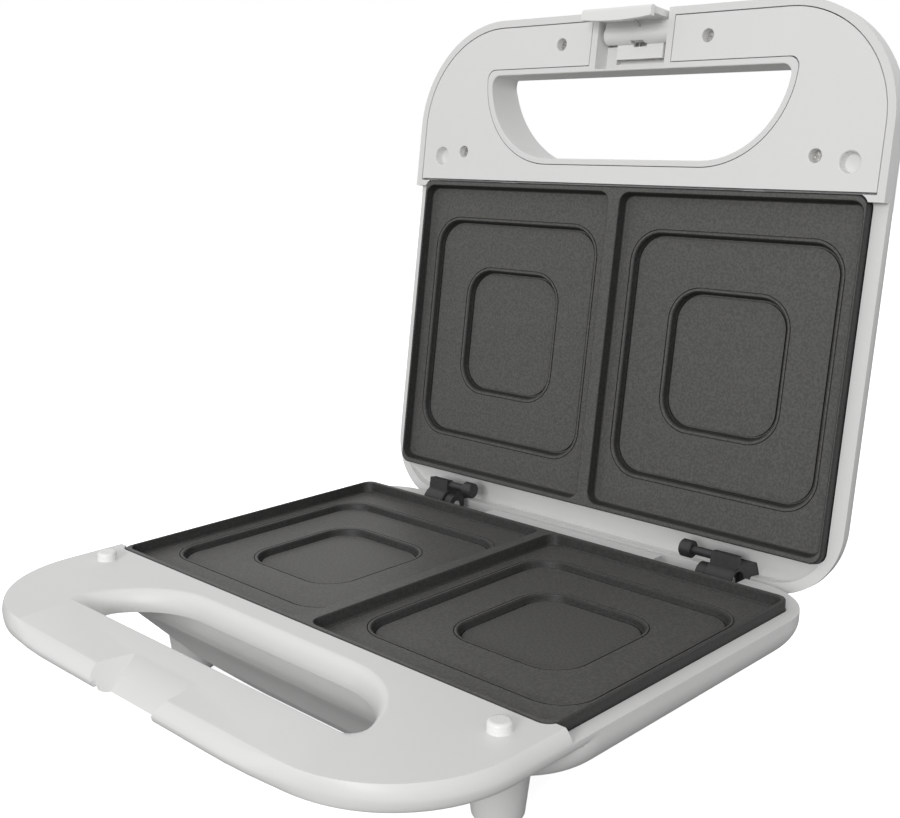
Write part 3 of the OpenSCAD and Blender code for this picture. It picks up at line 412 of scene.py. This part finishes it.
class Finish:
    """A material: one shader, whose sockets take numbers, colours or wires."""

    def __init__(self, name, **sockets):
        self.material = bpy.data.materials.new(name)
        self.material.use_nodes = True
        self.tree = self.material.node_tree
        self.shader = self.tree.nodes["Principled BSDF"]
        self.place = self.add("TexCoord", {}, {}, "Object")
        self.set(**sockets)

    def add(self, kind, settings, values, output=0):
        node = self.tree.nodes.new("ShaderNode" + kind)
        for key, value in settings.items():
            if key == "stops":
                ramp = node.color_ramp.elements
                while len(ramp) < len(value):
                    ramp.new(1)
                for element, (where, level) in zip(ramp, value):
                    element.position = where
                    element.color = (*level, 1) if isinstance(level, tuple) else (level, level, level, 1)
            else:
                setattr(node, key, value)
        for key, value in values.items():
            self.feed(node.inputs[key], value)
        return Wire(self, node.outputs[output])

    def feed(self, socket, value):
        if isinstance(value, Wire):
            self.tree.links.new(value.socket, socket)
        elif socket.type == "RGBA" and len(value) == 3:
            socket.default_value = (*value, 1)
        else:
            socket.default_value = value

    def set(self, **sockets):
        for key, value in sockets.items():
            self.feed(self.shader.inputs[key.replace("_", " ")], value)

    def noise(self, size, detail, stretch=(1, 1, 1)):
        """Noise between 0 and 1 whose lumps are about size metres across."""
        at_place = self.add("VectorMath", {"operation": "MULTIPLY"}, {0: self.place, 1: stretch})
        return self.add("TexNoise", {}, {"Vector": at_place, "Scale": 1 / size, "Detail": detail})

    def blend(self, share, low, high):
        """Colour between low and high by share."""
        return self.add("Mix", {"data_type": "RGBA"}, {0: share, 6: low, 7: high}, 2)

    def bump(self, height, depth):
        """Relief in the surface, depth metres high."""
        return self.add("Bump", {}, {"Strength": 1.0, "Distance": depth, "Height": height})


def white_plastic(name, low, high, rough, grain=0.000012):
    made = Finish(name, IOR=1.49)
    drift = made.noise(0.03, 3)
    fine = made.noise(0.0004, 2)
    made.set(Base_Color=made.blend(drift, low, high), Roughness=rough - 0.04 + 0.08 * drift + 0.05 * fine,
             Normal=made.bump(fine, grain))
    return made.material


def paint(made, material):
    made.data.materials.clear()
    made.data.materials.append(material)
    return made


housing_white = white_plastic("housing_white", (0.76, 0.76, 0.75), (0.80, 0.80, 0.79), 0.42)
paint(base_shell, housing_white)


# ---------------------------------------------------------------- locating pins and foot pads
# Two glossy white pins stand on the deck and enter the holes of the lid cover, so that the halves meet
# true. A grey rubber pad is pressed into the hollow end of each foot.
LOCATORS = [(s * 101.2, -11.3) for s in (-1, 1)]
PIN_R, PIN_SEAT_R = 3.7, 4.2
pin_skin = [(0, -2), (PIN_SEAT_R, -2), (PIN_SEAT_R, -0.2), (PIN_R, 0), (PIN_R, 2.2),
            (3.55, 2.75), (3.2, 3.15), (2.6, 3.3), (0, 3.3)]
locating_pins = turned("locating_pins", pin_skin, LOCATORS[1])
join(locating_pins, turned("pin", pin_skin, LOCATORS[0]))
soften(locating_pins, 0.15)
lay(locating_pins, BASE, "base", "locating_pins")
paint(locating_pins, white_plastic("pin_white", (0.84, 0.84, 0.83), (0.88, 0.88, 0.87), 0.25, 0.000004))

PAD_R, PAD_SOLE, PAD_TOP = 5.0, -46.2, -44.0
pad_skin = [(0, PAD_SOLE), (4.2, PAD_SOLE), (4.7, -46.05), (PAD_R, -45.6), (PAD_R, PAD_TOP), (0, PAD_TOP)]
foot_pads = join(*[turned("pad", pad_skin, foot) for foot in FEET])
foot_pads.name = "foot_pads"
soften(foot_pads, 0.1)
lay(foot_pads, BASE, "base", "foot_pads")
rubber = Finish("pad_rubber")
dust = rubber.noise(0.002, 4)
rubber.set(Base_Color=rubber.blend(dust, (0.42, 0.42, 0.42), (0.50, 0.50, 0.49)), Roughness=0.7 + 0.15 * dust,
           Normal=rubber.bump(dust, 0.00003))
paint(foot_pads, rubber.material)


# ---------------------------------------------------------------- cooking plates
# Both plates are the same aluminium casting with a dark non-stick coat: a rim, a ridge between the two
# pockets, and in each pocket a tray with two square steps. Clips hold them in the shells.
joints = {joint["name"]: joint for joint in frame["joints"]}
hinge_at = Vector(joints["lid_hinge"]["pos_m"])
open_by = math.radians(joints["lid_hinge"]["range_deg"][1])
# The lid is drawn shut, too. LID turns the drawing up about the hinge to where the open lid rests.
LID = (Matrix.Translation(hinge_at) @ Matrix.Rotation(-open_by, 4, "X")
       @ Matrix.Translation(-hinge_at) @ BASE)
SHUT_GAP = 0.3
RIM, RIDGE = 2.4, 3.6
POCKET_X, POCKET_Y = (PLATE_W + RIDGE) / 4, PLATE_D / 2
TRAY, STEP, CENTRE = 4.5, 6.9, 9.3
STEP_R = 12
STEPS = ((91, 99, TRAY, STEP), (51, 55, STEP, CENTRE))
BOSSES = ((97, 105, -9.9), (57, 61, -12.3))


def square(side, w, d, r, out):
    """Outline w by d with corner radius r about the middle of one pocket, set outwards by out."""
    return rounded(w / 2 + out, POCKET_Y - d / 2 - out, POCKET_Y + d / 2 + out, r, r, 12, side * POCKET_X)


def pocket(side, w, d, r, top, floor, lip, draft, foot):
    """Cutter for one square recess, with a rolled upper edge, drafted sides and a filleted floor."""
    levels = [(lip, 1.0)]
    for k in range(7):
        a = math.radians(15 * k)
        levels.append((lip * (1 - math.sin(a)), -top - lip * (1 - math.cos(a))))
    for k in range(7):
        a = math.radians(15 * k)
        levels.append((-draft - foot * (1 - math.cos(a)), -floor + foot * (1 - math.sin(a))))
    return loft("pocket", [at(square(side, w, d, r + out, out), z) for out, z in reversed(levels)])


def plate_blank():
    """Plain block of the plate with a rolled upper edge."""
    levels = [(-0.4, -9.0), (0, -8.6), (0, -0.8)]
    for k in range(1, 6):
        a = math.radians(90 * k / 5)
        levels.append((-0.8 * (1 - math.cos(a)), 0.8 * math.sin(a) - 0.8))
    return loft("plate", [at(rounded(PLATE_W / 2 + e, -e, PLATE_D + e, PLATE_R + e, PLATE_R + e, 10), z)
                          for e, z in levels])


def groove(side, w, d, floor, outer, inner, deep):
    """Cutter of a thin groove in a floor, between the step's outline set outwards by outer and by inner."""
    ring = loft("groove", [at(square(side, w, d, STEP_R + outer, outer + lean), z)
                           for lean, z in ((-0.35, -floor - deep), (0, -floor + 0.4))])
    core = loft("groove", [at(square(side, w, d, STEP_R + inner, inner + lean), z)
                           for lean, z in ((0.35, -floor - 1.9), (0, -floor + 1.4))])
    return cut(ring, core)


def plate():
    made = plate_blank()
    cut(made, upright(rounded(PLATE_W / 2 - RIM, RIM, PLATE_D - RIM, 2.5, 2.5, 10), -10, -7.5))
    for side in (-1, 1):
        for w, d, z in BOSSES:
            join(made, loft("boss", [at(square(side, w, d, STEP_R, e), h)
                                     for e, h in ((-0.8, z), (0, z + 0.8), (0, -6))]))
    for side in (-1, 1):
        cut(made, pocket(side, PLATE_W / 2 - RIDGE / 2 - RIM, PLATE_D - 2 * RIM, 4.5, 0, TRAY, 0.6, 0.4, 0.9))
        for w, d, top, floor in STEPS:
            cut(made, pocket(side, w, d, STEP_R, top, floor, 0.9, 0.3, 0.2))
            cut(made, groove(side, w, d, top, 2.1, 1.3, 0.5))
            cut(made, groove(side, w, d, floor, -0.3, -1.6, 0.9))
    return soften(made, 0.25, 2, 50)


def nonstick(name, low, high):
    made = Finish(name, IOR=1.45)
    speck = made.noise(0.0009, 3)
    cloud = made.noise(0.025, 3)
    fleck = speck.steps((0.40, 0.0), (0.62, 1.0))
    made.set(Base_Color=made.blend(fleck, low, high), Roughness=0.44 + 0.10 * cloud + 0.08 * speck,
             Normal=made.bump(speck, 0.00003))
    return made.material


coat = nonstick("nonstick_coat", (0.070, 0.070, 0.066), (0.104, 0.103, 0.097))
# A darker copy of the coat goes on every sloping face of the rim, ridge, pockets and steps, as painted shade
# on those walls.
coat_shaded_on_slopes = nonstick("nonstick_painted_shade_on_slopes", (0.022, 0.022, 0.021), (0.036, 0.036, 0.034))
UPSIDE_DOWN = LID @ Matrix.Translation((0, 0, SHUT_GAP)) @ Matrix.Diagonal((1, 1, -1, 1))
for name, body, place in (("lower_plate", "base", BASE), ("upper_plate", "lid", UPSIDE_DOWN)):
    made = plate()
    made.name = name
    paint(made, coat).data.materials.append(coat_shaded_on_slopes)
    # Faces that lean more than about 21 degrees from flat get the copy with painted shade.
    for face in made.data.polygons:
        face.material_index = int(abs(face.normal.z) < 0.93)
    if body == "lid":
        made.data.flip_normals()
    lay(made, place, body, name)


# ---------------------------------------------------------------- lid shell
# The lid is one white moulding: a dome over the upper plate that runs down in front to the upper half of
# the carry handle, with a finger opening through it and a recess for the latch in the middle.
LIP = 3.0
OPENING_WALL = 2.4
COVER_T = 2.3
RECESS_W, RECESS_BACK, RECESS_TOP, RECESS_WALL = 34.2, -48.0, 11.2, 3.0
LID_FRONT = -47.0
LID_BACK_FRONT, LID_CORNER, LID_REAR_CORNER = -12, 46, 28
DOME_SIDE, DOME_FRONT, DOME_REAR, DOME_H = 58, 50, 20, 33.8
HAND_X, HAND_Y, HAND_TOP, HAND_EDGE = 70, -25, 13.8, 7


def lid_points(w):
    """Points of the lid's outside, or of a skin w further in."""
    rear_corner = LID_REAR_CORNER - w
    points = at(rounded(HALF_W - w, LID_BACK_FRONT + w, REAR - w, LID_CORNER - w, rear_corner, 24), SHUT_GAP)
    for k in range(19):
        a = math.radians(5 * k)
        e = DOME_SIDE * (1 - math.cos(a)) + w
        front = LID_BACK_FRONT + DOME_FRONT * (1 - math.cos(a)) + w
        rear = REAR - DOME_REAR * (1 - math.cos(a)) - w
        points += at(rounded(HALF_W - e, front, rear, LID_CORNER, rear_corner, 24),
                     LEDGE + DOME_H * math.sin(a) - w * math.sin(a))
    for k in range(10):
        a = math.radians(10 * k)
        e = HAND_EDGE * (1 - math.cos(a)) + w
        z = HAND_TOP - HAND_EDGE * (1 - math.sin(a)) - w * math.sin(a)
        for side in (-1, 1):
            points += at(arc(HAND_X * side, HAND_Y, LID_CORNER - e, 0, 360, 96)[:-1], z)
    for side in (-1, 1):
        points += at(arc(HAND_X * side, HAND_Y, LID_CORNER - w, 0, 360, 96)[:-1], SHUT_GAP)
    return points


def recess_block(wall, top):
    """Block that takes in the latch recess and a wall round it."""
    return block(-RECESS_W / 2 - wall, RECESS_W / 2 + wall, -73, RECESS_BACK + wall, -2, top)


def surface_of(made):
    """Height of a piece's top side over any (x, y)."""
    bm = bmesh.new()
    bm.from_mesh(made.data)
    tree = BVHTree.FromBMesh(bm)
    bm.free()

    def height(x, y):
        hit = tree.ray_cast(Vector((x, y, 100)), Vector((0, 0, -1)))
        return hit[0].z if hit[0] else 0.0

    return height


lid_shell = hull("lid_housing", lid_points(0))
top_of_lid = surface_of(lid_shell)
room = keep(hull("room", lid_points(WALL)), block(-115, 115, -70, 149, SHUT_GAP + COVER_T, 37))
# What stays solid in the room: walls round the opening and the recess, the ledge on which the plate lies,
# a pad for the lamps and the bosses of the screws.
plate_ledge = block(-117, 117, -8.9, 152, 4.5, 12.3)
lamp_pad = block(-16, 16, -1, 13, 22, 40)
cut(room, upright(finger(OPENING_WALL, LID_FRONT), -1, 40), recess_block(RECESS_WALL, 17),
    plate_ledge, lamp_pad)
COVER_SCREWS = [(s * 87.5, -13.4) for s in (-1, 1)] + [(s * 36.1, -59.0) for s in (-1, 1)]
for place in COVER_SCREWS:
    cut(room, turned("boss", rod(3.7, 6, 40), place, 24))
cut(lid_shell, room)
for place in LOCATORS:
    cut(lid_shell, turned("cup_room", rod(6.2, 0, 6.4), place))
cover_seat = upright(rounded(HALF_W - LIP, FRONT + LIP, 40, 43, 25, 24), -1, SHUT_GAP + COVER_T)
cut(cover_seat, block(-120, 120, 0, 60, -2, 5), upright(finger(OPENING_WALL, LID_FRONT), -2, 5),
    recess_block(RECESS_WALL, 5))
cut(lid_shell, cover_seat, block(-120, 120, 2.5, 160, -1, LEDGE + SHUT_GAP), *plate_seat((-1, 9.3), (9, 12.5)))
LOW_ROLL, TOP_ROLL, GRIP_ROLL_MORE = 0.5, 1.6, 3.4


def opening_cutter(outline, height):
    """Cutter of the finger opening. Its edge is rolled a little over the flat underside and more over the
    sloping top, most of all along the grip, where the fingers lie."""
    rings = []
    for k in range(7):
        a = math.radians(15 * k)
        rings += well(outline, [(LOW_ROLL * (1 - math.sin(a)), SHUT_GAP + LOW_ROLL * (1 - math.cos(a)))])
    rings.insert(0, [(x, y, -2) for x, y, _ in rings[0]])
    front = min(y for _, y in outline)
    for k in range(7):
        a = math.radians(15 * k)
        out = TOP_ROLL * (1 - math.cos(a))
        ring = []
        for (x, y, _), (_, drawn_y) in zip(well(outline, [(out, 0)])[0], outline):
            by_grip = min(1, max(0, (front + 5 - drawn_y) / 4))
            roll = TOP_ROLL + GRIP_ROLL_MORE * by_grip
            y -= (roll * (1 - math.cos(a)) - out) * by_grip
            ring.append((x, y, height(x, y) - roll * (1 - math.sin(a))))
        rings.append(ring)
    rings.append([(x, y, z + 6) for x, y, z in rings[-1]])
    return loft("opening", rings)


cut(lid_shell, opening_cutter(finger(0, LID_FRONT), top_of_lid))
WINDOW_W, WINDOW_BACK, FRAME_Z = 24.0, -51.0, 8.3
cut(lid_shell, block(-RECESS_W / 2, RECESS_W / 2, -73, -58.2, -1, RECESS_TOP),
    block(-RECESS_W / 2, RECESS_W / 2, -60, RECESS_BACK, -1, FRAME_Z),
    block(-WINDOW_W / 2, WINDOW_W / 2, -60, WINDOW_BACK, 0, RECESS_TOP))
TROUGH_FRONT, TROUGH_REAR, TROUGH_LOW, TROUGH_HIGH = 135.6, 146.3, 4.6, 10.8
trough = hull("trough", [(x, y, z) for x in (-112, 112)
                         for y, z in ((TROUGH_FRONT, 4.3), (TROUGH_FRONT, TROUGH_LOW),
                                      (TROUGH_REAR, TROUGH_HIGH), (TROUGH_REAR, 4.3))])
cut(lid_shell, keep(trough, upright(rounded(111.8, 60, TROUGH_REAR, 5, 23.8), 4, 12)))
LENS_X, LENS_Y, LENS_HOLE_R = 9, 6, 3.1
NECK_SLOT_X = (69.8, 81.2)
for side in (-1, 1):
    cut(lid_shell, turned("lens_hole", rod(LENS_HOLE_R, 10, 45), (LENS_X * side, LENS_Y), 32),
        block(*sorted(side * x for x in NECK_SLOT_X), 141.2, 146.8, 4, 13))
soften(lid_shell, 0.35)
lay(lid_shell, LID, "lid", "lid_shell")
paint(lid_shell, housing_white)


# ---------------------------------------------------------------- handle cover
# A flat white moulding closes the lid's half of the handle from below. It lies in a seat inside the lip
# of the shell and has two wells over its rear screws, two over its grip screws, and two locating holes.
COVER_FIT = 0.35
COVER_INSET = LIP + COVER_FIT
# (inset, height) of the cover's edge, which is rolled at the visible underside.
COVER_ROLL = ((0.35, SHUT_GAP), (0.12, SHUT_GAP + 0.08), (0, SHUT_GAP + 0.3), (0, SHUT_GAP + COVER_T))
handle_cover = loft("handle_cover", [at(rounded(HALF_W - COVER_INSET - e, FRONT + COVER_INSET + e, 40,
                                                LID_CORNER - COVER_INSET - e, 20, 28), z)
                                     for e, z in COVER_ROLL])
cut(handle_cover, block(-120, 120, -0.9, 60, -2, 5),
    upright(finger(OPENING_WALL + COVER_FIT, LID_FRONT), -2, 5), recess_block(RECESS_WALL + COVER_FIT, 5))
for place in COVER_SCREWS:
    join(handle_cover, turned("boss", rod(4.2, 1, 6), place, 40))
for place in LOCATORS:
    join(handle_cover, turned("cup", rod(5.8, 1, 6), place, 48))
screw_well = [(0, -1), (3.0, -1), (3.0, SHUT_GAP), (2.7, SHUT_GAP + 0.12), (2.5, SHUT_GAP + 0.5),
              (2.4, 5.0), (1.5, 5.0), (1.5, 7), (0, 7)]
for place in COVER_SCREWS:
    cut(handle_cover, turned("well", screw_well, place, 40))
pin_hole = [(0, -1), (4.5, -1), (4.5, SHUT_GAP), (4.15, SHUT_GAP + 0.15), (3.9, SHUT_GAP + 0.6), (3.85, 3.6),
            (3.4, 4.5), (0, 4.8)]
for place in LOCATORS:
    cut(handle_cover, turned("hole", pin_hole, place, 48))
soften(handle_cover, 0.25, 2, 50)
lay(handle_cover, LID, "lid", "handle_cover")
paint(handle_cover, white_plastic("cover_white", (0.79, 0.79, 0.78), (0.82, 0.82, 0.81), 0.48))


# ---------------------------------------------------------------- latch
# A white moulded lever turns on a steel pin in the recess of the lid. Its wall runs down the front of the
# handle and ends in a hook that snaps under the lower grip; a wound spring on the pin holds it there.
LATCH_AT, HUB_R, LATCH_BORE_R = (0, -62.5, 6.4), 3.8, 1.56
LEVER_HALF_W, LEVER_T = 16, 2.6
WALL_FACE = FRONT + 1.2
HOOK_HALF_W = 17
# The outer edge of the hook is rounded, so that it rides over the rib.
HOOK_EDGE = ((1.5, -12.2), (0.7, -12.0), (0.2, -11.4), (0, -10.7), (0, -9.6))
across = Matrix.Rotation(math.pi / 2, 4, "Y")
latch_lever = block(-LEVER_HALF_W, LEVER_HALF_W, WALL_FACE, WALL_FACE + LEVER_T, -9.7, 8.7)
latch_lever.name = "latch_lever"
bowed = [(HOOK_HALF_W - 2 * HOOK_HALF_W * k / 16, WALL_FACE + 4.3 + 1.1 * (1 - (1 - k / 8) ** 2))
         for k in range(17)]
join(latch_lever, loft("hook", [at([(-HOOK_HALF_W, WALL_FACE + e), (HOOK_HALF_W, WALL_FACE + e)] + bowed, z)
                                for e, z in HOOK_EDGE]),
     turned("hub", rod(HUB_R, -LEVER_HALF_W, LEVER_HALF_W), LATCH_AT, 48, across),
     block(-LEVER_HALF_W, LEVER_HALF_W, WALL_FACE + 1, LATCH_AT[1], 5.0, 7.8),
     block(-15.6, 15.6, WALL_FACE + 1, -61.2, 3.0, 3.9),
     block(-11.4, 11.4, LATCH_AT[1], -52.8, 7.0, 8.3))
cut(latch_lever, block(-3.25, 3.25, WALL_FACE + LEVER_T, -57.7, 3.9, 11.2),
    turned("bore", rod(LATCH_BORE_R, -20, 20), LATCH_AT, 32, across))
soften(latch_lever, 0.45, 3)
lay(latch_lever, LID, "latch", "latch_lever")
paint(latch_lever, white_plastic("latch_white", (0.84, 0.84, 0.83), (0.88, 0.88, 0.87), 0.30, 0.000006))


# ---------------------------------------------------------------- hinge
# Black nylon arms on the lid turn on steel pins held by black lugs in the base. Each arm has a thick
# barrel, a small round stop beside it and a neck that goes up through the ledge of the lid.
hinge_y = (hinge_at.y - plate_low.y) * 1000
hinge_z = (hinge_at.z - plate_high.z) * 1000


def both(made):
    """Adds the mirror image on the other side of the toaster."""
    bm = bmesh.new()
    bm.from_mesh(made.data)
    other = bmesh.ops.duplicate(bm, geom=bm.verts[:] + bm.edges[:] + bm.faces[:])["geom"]
    verts = [g for g in other if isinstance(g, bmesh.types.BMVert)]
    bmesh.ops.transform(bm, matrix=Matrix.Diagonal((-1, 1, 1, 1)), verts=verts)
    bmesh.ops.reverse_faces(bm, faces=[g for g in other if isinstance(g, bmesh.types.BMFace)])
    bm.to_mesh(made.data)
    bm.free()
    return made


BARREL_X, BARREL_L, BARREL_R = 69.6, 11.8, 6.2
NECK_X, NECK_W, NECK_Y = 70.0, 11, hinge_y - 6.2
BUMP_X, BUMP_Y, BUMP_R, BUMP_L = BARREL_X - 13.9, hinge_y - 8.3, 3.5, 5.2
STEM_X, STEM_R, STEM_L = BARREL_X - 9.7, 1.75, 11.7
FOOT_Z, ARM_TOP = 12.1, 14.4
barrel = [(0, 0), (5.7, 0), (BARREL_R, 0.5), (BARREL_R, BARREL_L - 0.8), (5.4, BARREL_L), (0, BARREL_L)]
bump = [(0, 0), (3.0, 0), (BUMP_R, 0.5), (BUMP_R, 4.7), (3.0, BUMP_L), (0, BUMP_L)]
bore = [(0, -1), (2.05, -1), (2.05, 9.2), (4.6, 9.2), (4.6, 13), (0, 13)]
hinge_arms = turned("hinge_arms", barrel, (BARREL_X, hinge_y, hinge_z), 64, across)
join(hinge_arms, block(NECK_X, NECK_X + NECK_W, NECK_Y, NECK_Y + 8.6, hinge_z, 4.3),
     block(NECK_X, NECK_X + NECK_W, NECK_Y, NECK_Y + 5.2, 4, ARM_TOP),
     block(NECK_X - 2, NECK_X + NECK_W + 2, NECK_Y - 22.8, NECK_Y + 5.2, FOOT_Z, ARM_TOP),
     block(NECK_X, NECK_X + NECK_W, hinge_y - 10.4, hinge_y - 3.1, hinge_z - 2.5, hinge_z + 1.2),
     turned("bump", bump, (BUMP_X, BUMP_Y, hinge_z), 40, across),
     turned("stem", rod(STEM_R, 0, STEM_L), (STEM_X, BUMP_Y, hinge_z), 32, across))
cut(hinge_arms, turned("bore", bore, (BARREL_X, hinge_y, hinge_z), 40, across))
for x in (NECK_X + 1.5, NECK_X + 9.5):
    cut(hinge_arms, turned("hole", rod(1.5, 11, 15), (x, NECK_Y - 15.4), 24))
both(soften(hinge_arms, 0.4, 3))
lay(hinge_arms, LID, "lid", "hinge_arms")
black = Finish("hinge_black", IOR=1.5)
haze = black.noise(0.004, 4)
black.set(Base_Color=black.blend(haze, (0.018, 0.018, 0.019), (0.035, 0.035, 0.036)),
          Roughness=0.38 + 0.2 * haze, Normal=black.bump(black.noise(0.0005, 2), 0.00002))
paint(hinge_arms, black.material)


def dress(node, body, place, width, material, segments=2):
    """Copy of a plain solid with its edges rounded by width millimetres, standing for that solid."""
    made = piece(node, frame["nodes"][node].data.copy())
    made.data.transform(place.inverted())
    soften(made, width, segments)
    lay(made, place, body, node)
    return paint(made, material)


def steel(name, low, high, rough, stretch=(1, 12, 1), size=0.004):
    made = Finish(name, Metallic=1.0)
    streak = made.noise(size, 4, stretch)
    made.set(Base_Color=made.blend(streak, low, high), Roughness=rough + 0.14 * streak,
             Normal=made.bump(streak, 0.00001))
    return made.material


dress("hinge_lugs", "base", BASE, 0.4, black.material)
pin_steel = steel("pin_steel", (0.55, 0.55, 0.55), (0.66, 0.66, 0.65), 0.25)
dress("hinge_pins", "base", BASE, 0.3, pin_steel)
for node, body, place in (("lug_screws", "base", BASE), ("arm_screws", "lid", LID),
                          ("cover_screws", "lid", LID)):
    zinc = steel(node + "_zinc", (0.42, 0.42, 0.41), (0.56, 0.55, 0.53), 0.34)
    dress(node, body, place, 0.25, zinc)


# ---------------------------------------------------------------- signal lamps
# A red and a green lens stand in two holes in the front slope of the lid, over two neon lamps in a white
# holder. The lenses are clear coloured polycarbonate.
LENS_R, LENS_RISE = 3.0, 1.5
for side, name, low, high in ((-1, "red", (0.45, 0.01, 0.008), (0.60, 0.02, 0.015)),
                              (1, "green", (0.01, 0.25, 0.05), (0.02, 0.36, 0.08))):
    rim_z = top_of_lid(LENS_X * side, LENS_Y) - 0.6
    lens_skin = [(0, 22), (LENS_R, 22), (LENS_R, rim_z)]
    lens_skin += [(LENS_R * math.cos(math.radians(a)), rim_z + LENS_RISE * math.sin(math.radians(a)))
                  for a in range(10, 90, 10)] + [(0, rim_z + LENS_RISE)]
    lens = turned("lens_" + name, lens_skin, (LENS_X * side, LENS_Y), 40)
    soften(lens, 0.15)
    lay(lens, LID, "lid", "lamp_lenses")
    glow = Finish("lens_" + name, IOR=1.58, Transmission_Weight=0.35)
    swirl = glow.noise(0.003, 2)
    glow.set(Base_Color=glow.blend(swirl, low, high), Roughness=0.12 + 0.08 * swirl)
    paint(lens, glow.material)


# ---------------------------------------------------------------- inner parts
# Heating tubes, straps, reflectors, clips, thermostat, fuse, terminal block and lamps keep their plain
# solids. They are steel, aluminised sheet, off-white insulation, black phenolic and glass.
def insulation(name, low, high, rough):
    made = Finish(name, IOR=1.5)
    grain = made.noise(0.0012, 4)
    made.set(Base_Color=made.blend(grain, low, high), Roughness=rough + 0.1 * grain,
             Normal=made.bump(grain, 0.00003))
    return made.material


tube = Finish("heated_tube", Metallic=0.85)
tint = tube.noise(0.012, 4)
tube.set(Base_Color=tube.blend(tint.steps((0.3, 0.0), (0.7, 1.0)), (0.10, 0.075, 0.06), (0.24, 0.20, 0.17)),
         Roughness=0.42 + 0.2 * tint, Normal=tube.bump(tint, 0.00003))
sheet = steel("aluminised_sheet", (0.70, 0.70, 0.69), (0.80, 0.80, 0.79), 0.22, (1, 1, 1), 0.006)
strip = steel("spring_strip", (0.50, 0.50, 0.50), (0.62, 0.62, 0.61), 0.30)
stone = insulation("white_insulation", (0.72, 0.71, 0.66), (0.80, 0.79, 0.75), 0.6)
phenolic = insulation("black_phenolic", (0.02, 0.02, 0.02), (0.05, 0.045, 0.04), 0.45)
neon = Finish("neon_glass", IOR=1.5, Transmission_Weight=0.6, Roughness=0.08)
neon.set(Base_Color=neon.blend(neon.noise(0.004, 2), (0.85, 0.45, 0.25), (0.95, 0.65, 0.45)))
INNER = {"lower_element": tube.material, "upper_element": tube.material,
         "lower_clamps": strip, "upper_clamps": strip, "lower_reflector": sheet, "upper_reflector": sheet,
         "lower_clips": strip, "upper_clips": strip, "thermostat": phenolic, "thermal_fuse": stone,
         "terminal_block": stone, "lamp_holder": stone, "neon_lamps": neon.material,
         "latch_pin": pin_steel, "latch_spring": strip}
for node, material in INNER.items():
    paint(frame["nodes"][node], material)


# ---------------------------------------------------------------- cord inlet bush
# A black rubber bush with a flange lines the hole in the rear wall of the base where the supply cord
# enters. It is pushed in from outside.
bush = Finish("bush_rubber", IOR=1.5)
bloom = bush.noise(0.003, 4)
bush.set(Base_Color=bush.blend(bloom, (0.02, 0.02, 0.02), (0.045, 0.045, 0.043)), Roughness=0.6 + 0.2 * bloom,
         Normal=bush.bump(bloom, 0.00003))
dress("inlet_bush", "base", BASE, 0.5, bush.material, 3)


# ---------------------------------------------------------------- studio
# The toaster stands on a white table that runs on to the back without an edge. It is lit by even light
# from all round and one soft lamp low in front.
floor = loft("floor", [[(-3, -3, z), (3, -3, z), (3, 3, z), (-3, 3, z)] for z in (-0.02, 0)])
table = Finish("table_white")
seen = table.add("LightPath", {}, {}, "Is Camera Ray")
wear = table.noise(0.2, 2)
worn = table.blend(wear, (0.80, 0.80, 0.80), (0.83, 0.83, 0.83))
table.set(Base_Color=table.blend(seen, (0.22, 0.22, 0.22), worn), Roughness=0.75 + 0.1 * wear,
          Emission_Color=table.blend(seen, (0, 0, 0), (1, 1, 1)), Emission_Strength=0.85)
paint(floor, table.material)

world = bpy.data.worlds.new("studio")
world.use_nodes = True
bpy.context.scene.world = world
nodes, links = world.node_tree.nodes, world.node_tree.links
soft = nodes["Background"]
soft.inputs["Color"].default_value = (1, 1, 1, 1)
soft.inputs["Strength"].default_value = 0.66
white = nodes.new("ShaderNodeBackground")
white.inputs["Color"].default_value = (1, 1, 1, 1)
path = nodes.new("ShaderNodeLightPath")
mix = nodes.new("ShaderNodeMixShader")
either = nodes.new("ShaderNodeMath")
either.operation = "MAXIMUM"
any_ray = nodes.new("ShaderNodeMath")
any_ray.operation = "MAXIMUM"
links.new(path.outputs["Is Camera Ray"], either.inputs[0])
links.new(path.outputs["Is Glossy Ray"], either.inputs[1])
links.new(either.outputs[0], any_ray.inputs[0])
links.new(path.outputs["Is Transmission Ray"], any_ray.inputs[1])
links.new(any_ray.outputs[0], mix.inputs[0])
links.new(soft.outputs[0], mix.inputs[1])
links.new(white.outputs[0], mix.inputs[2])
links.new(mix.outputs[0], nodes["World Output"].inputs["Surface"])

LAMP_AT, LAMP_AIM = Vector((0.65, -1.8, 0.66)), Vector((0, 0, 0.1))
front_lamp = bpy.data.objects.new("front_lamp", bpy.data.lights.new("front_lamp", "AREA"))
front_lamp.data.energy, front_lamp.data.size = 16, 0.6
front_lamp.matrix_world = (Matrix.Translation(LAMP_AT)
                           @ (LAMP_AT - LAMP_AIM).to_track_quat("Z", "Y").to_matrix().to_4x4())
bpy.context.scene.collection.objects.link(front_lamp)

camera = bpy.data.objects.new("camera", bpy.data.cameras.new("camera"))
bpy.context.scene.collection.objects.link(camera)
camera.data.sensor_width, camera.data.lens = 36, 48.9
EYE, TURN, DIP = Vector((305.2, -244.85, 160)), 43.67, 12.59
camera.matrix_world = (Matrix.Translation(BASE @ EYE) @ Matrix.Rotation(math.radians(TURN), 4, "Z")
                       @ Matrix.Rotation(math.radians(90 - DIP), 4, "X"))
bpy.context.scene.camera = camera
bpy.context.scene.view_settings.view_transform = "Standard"
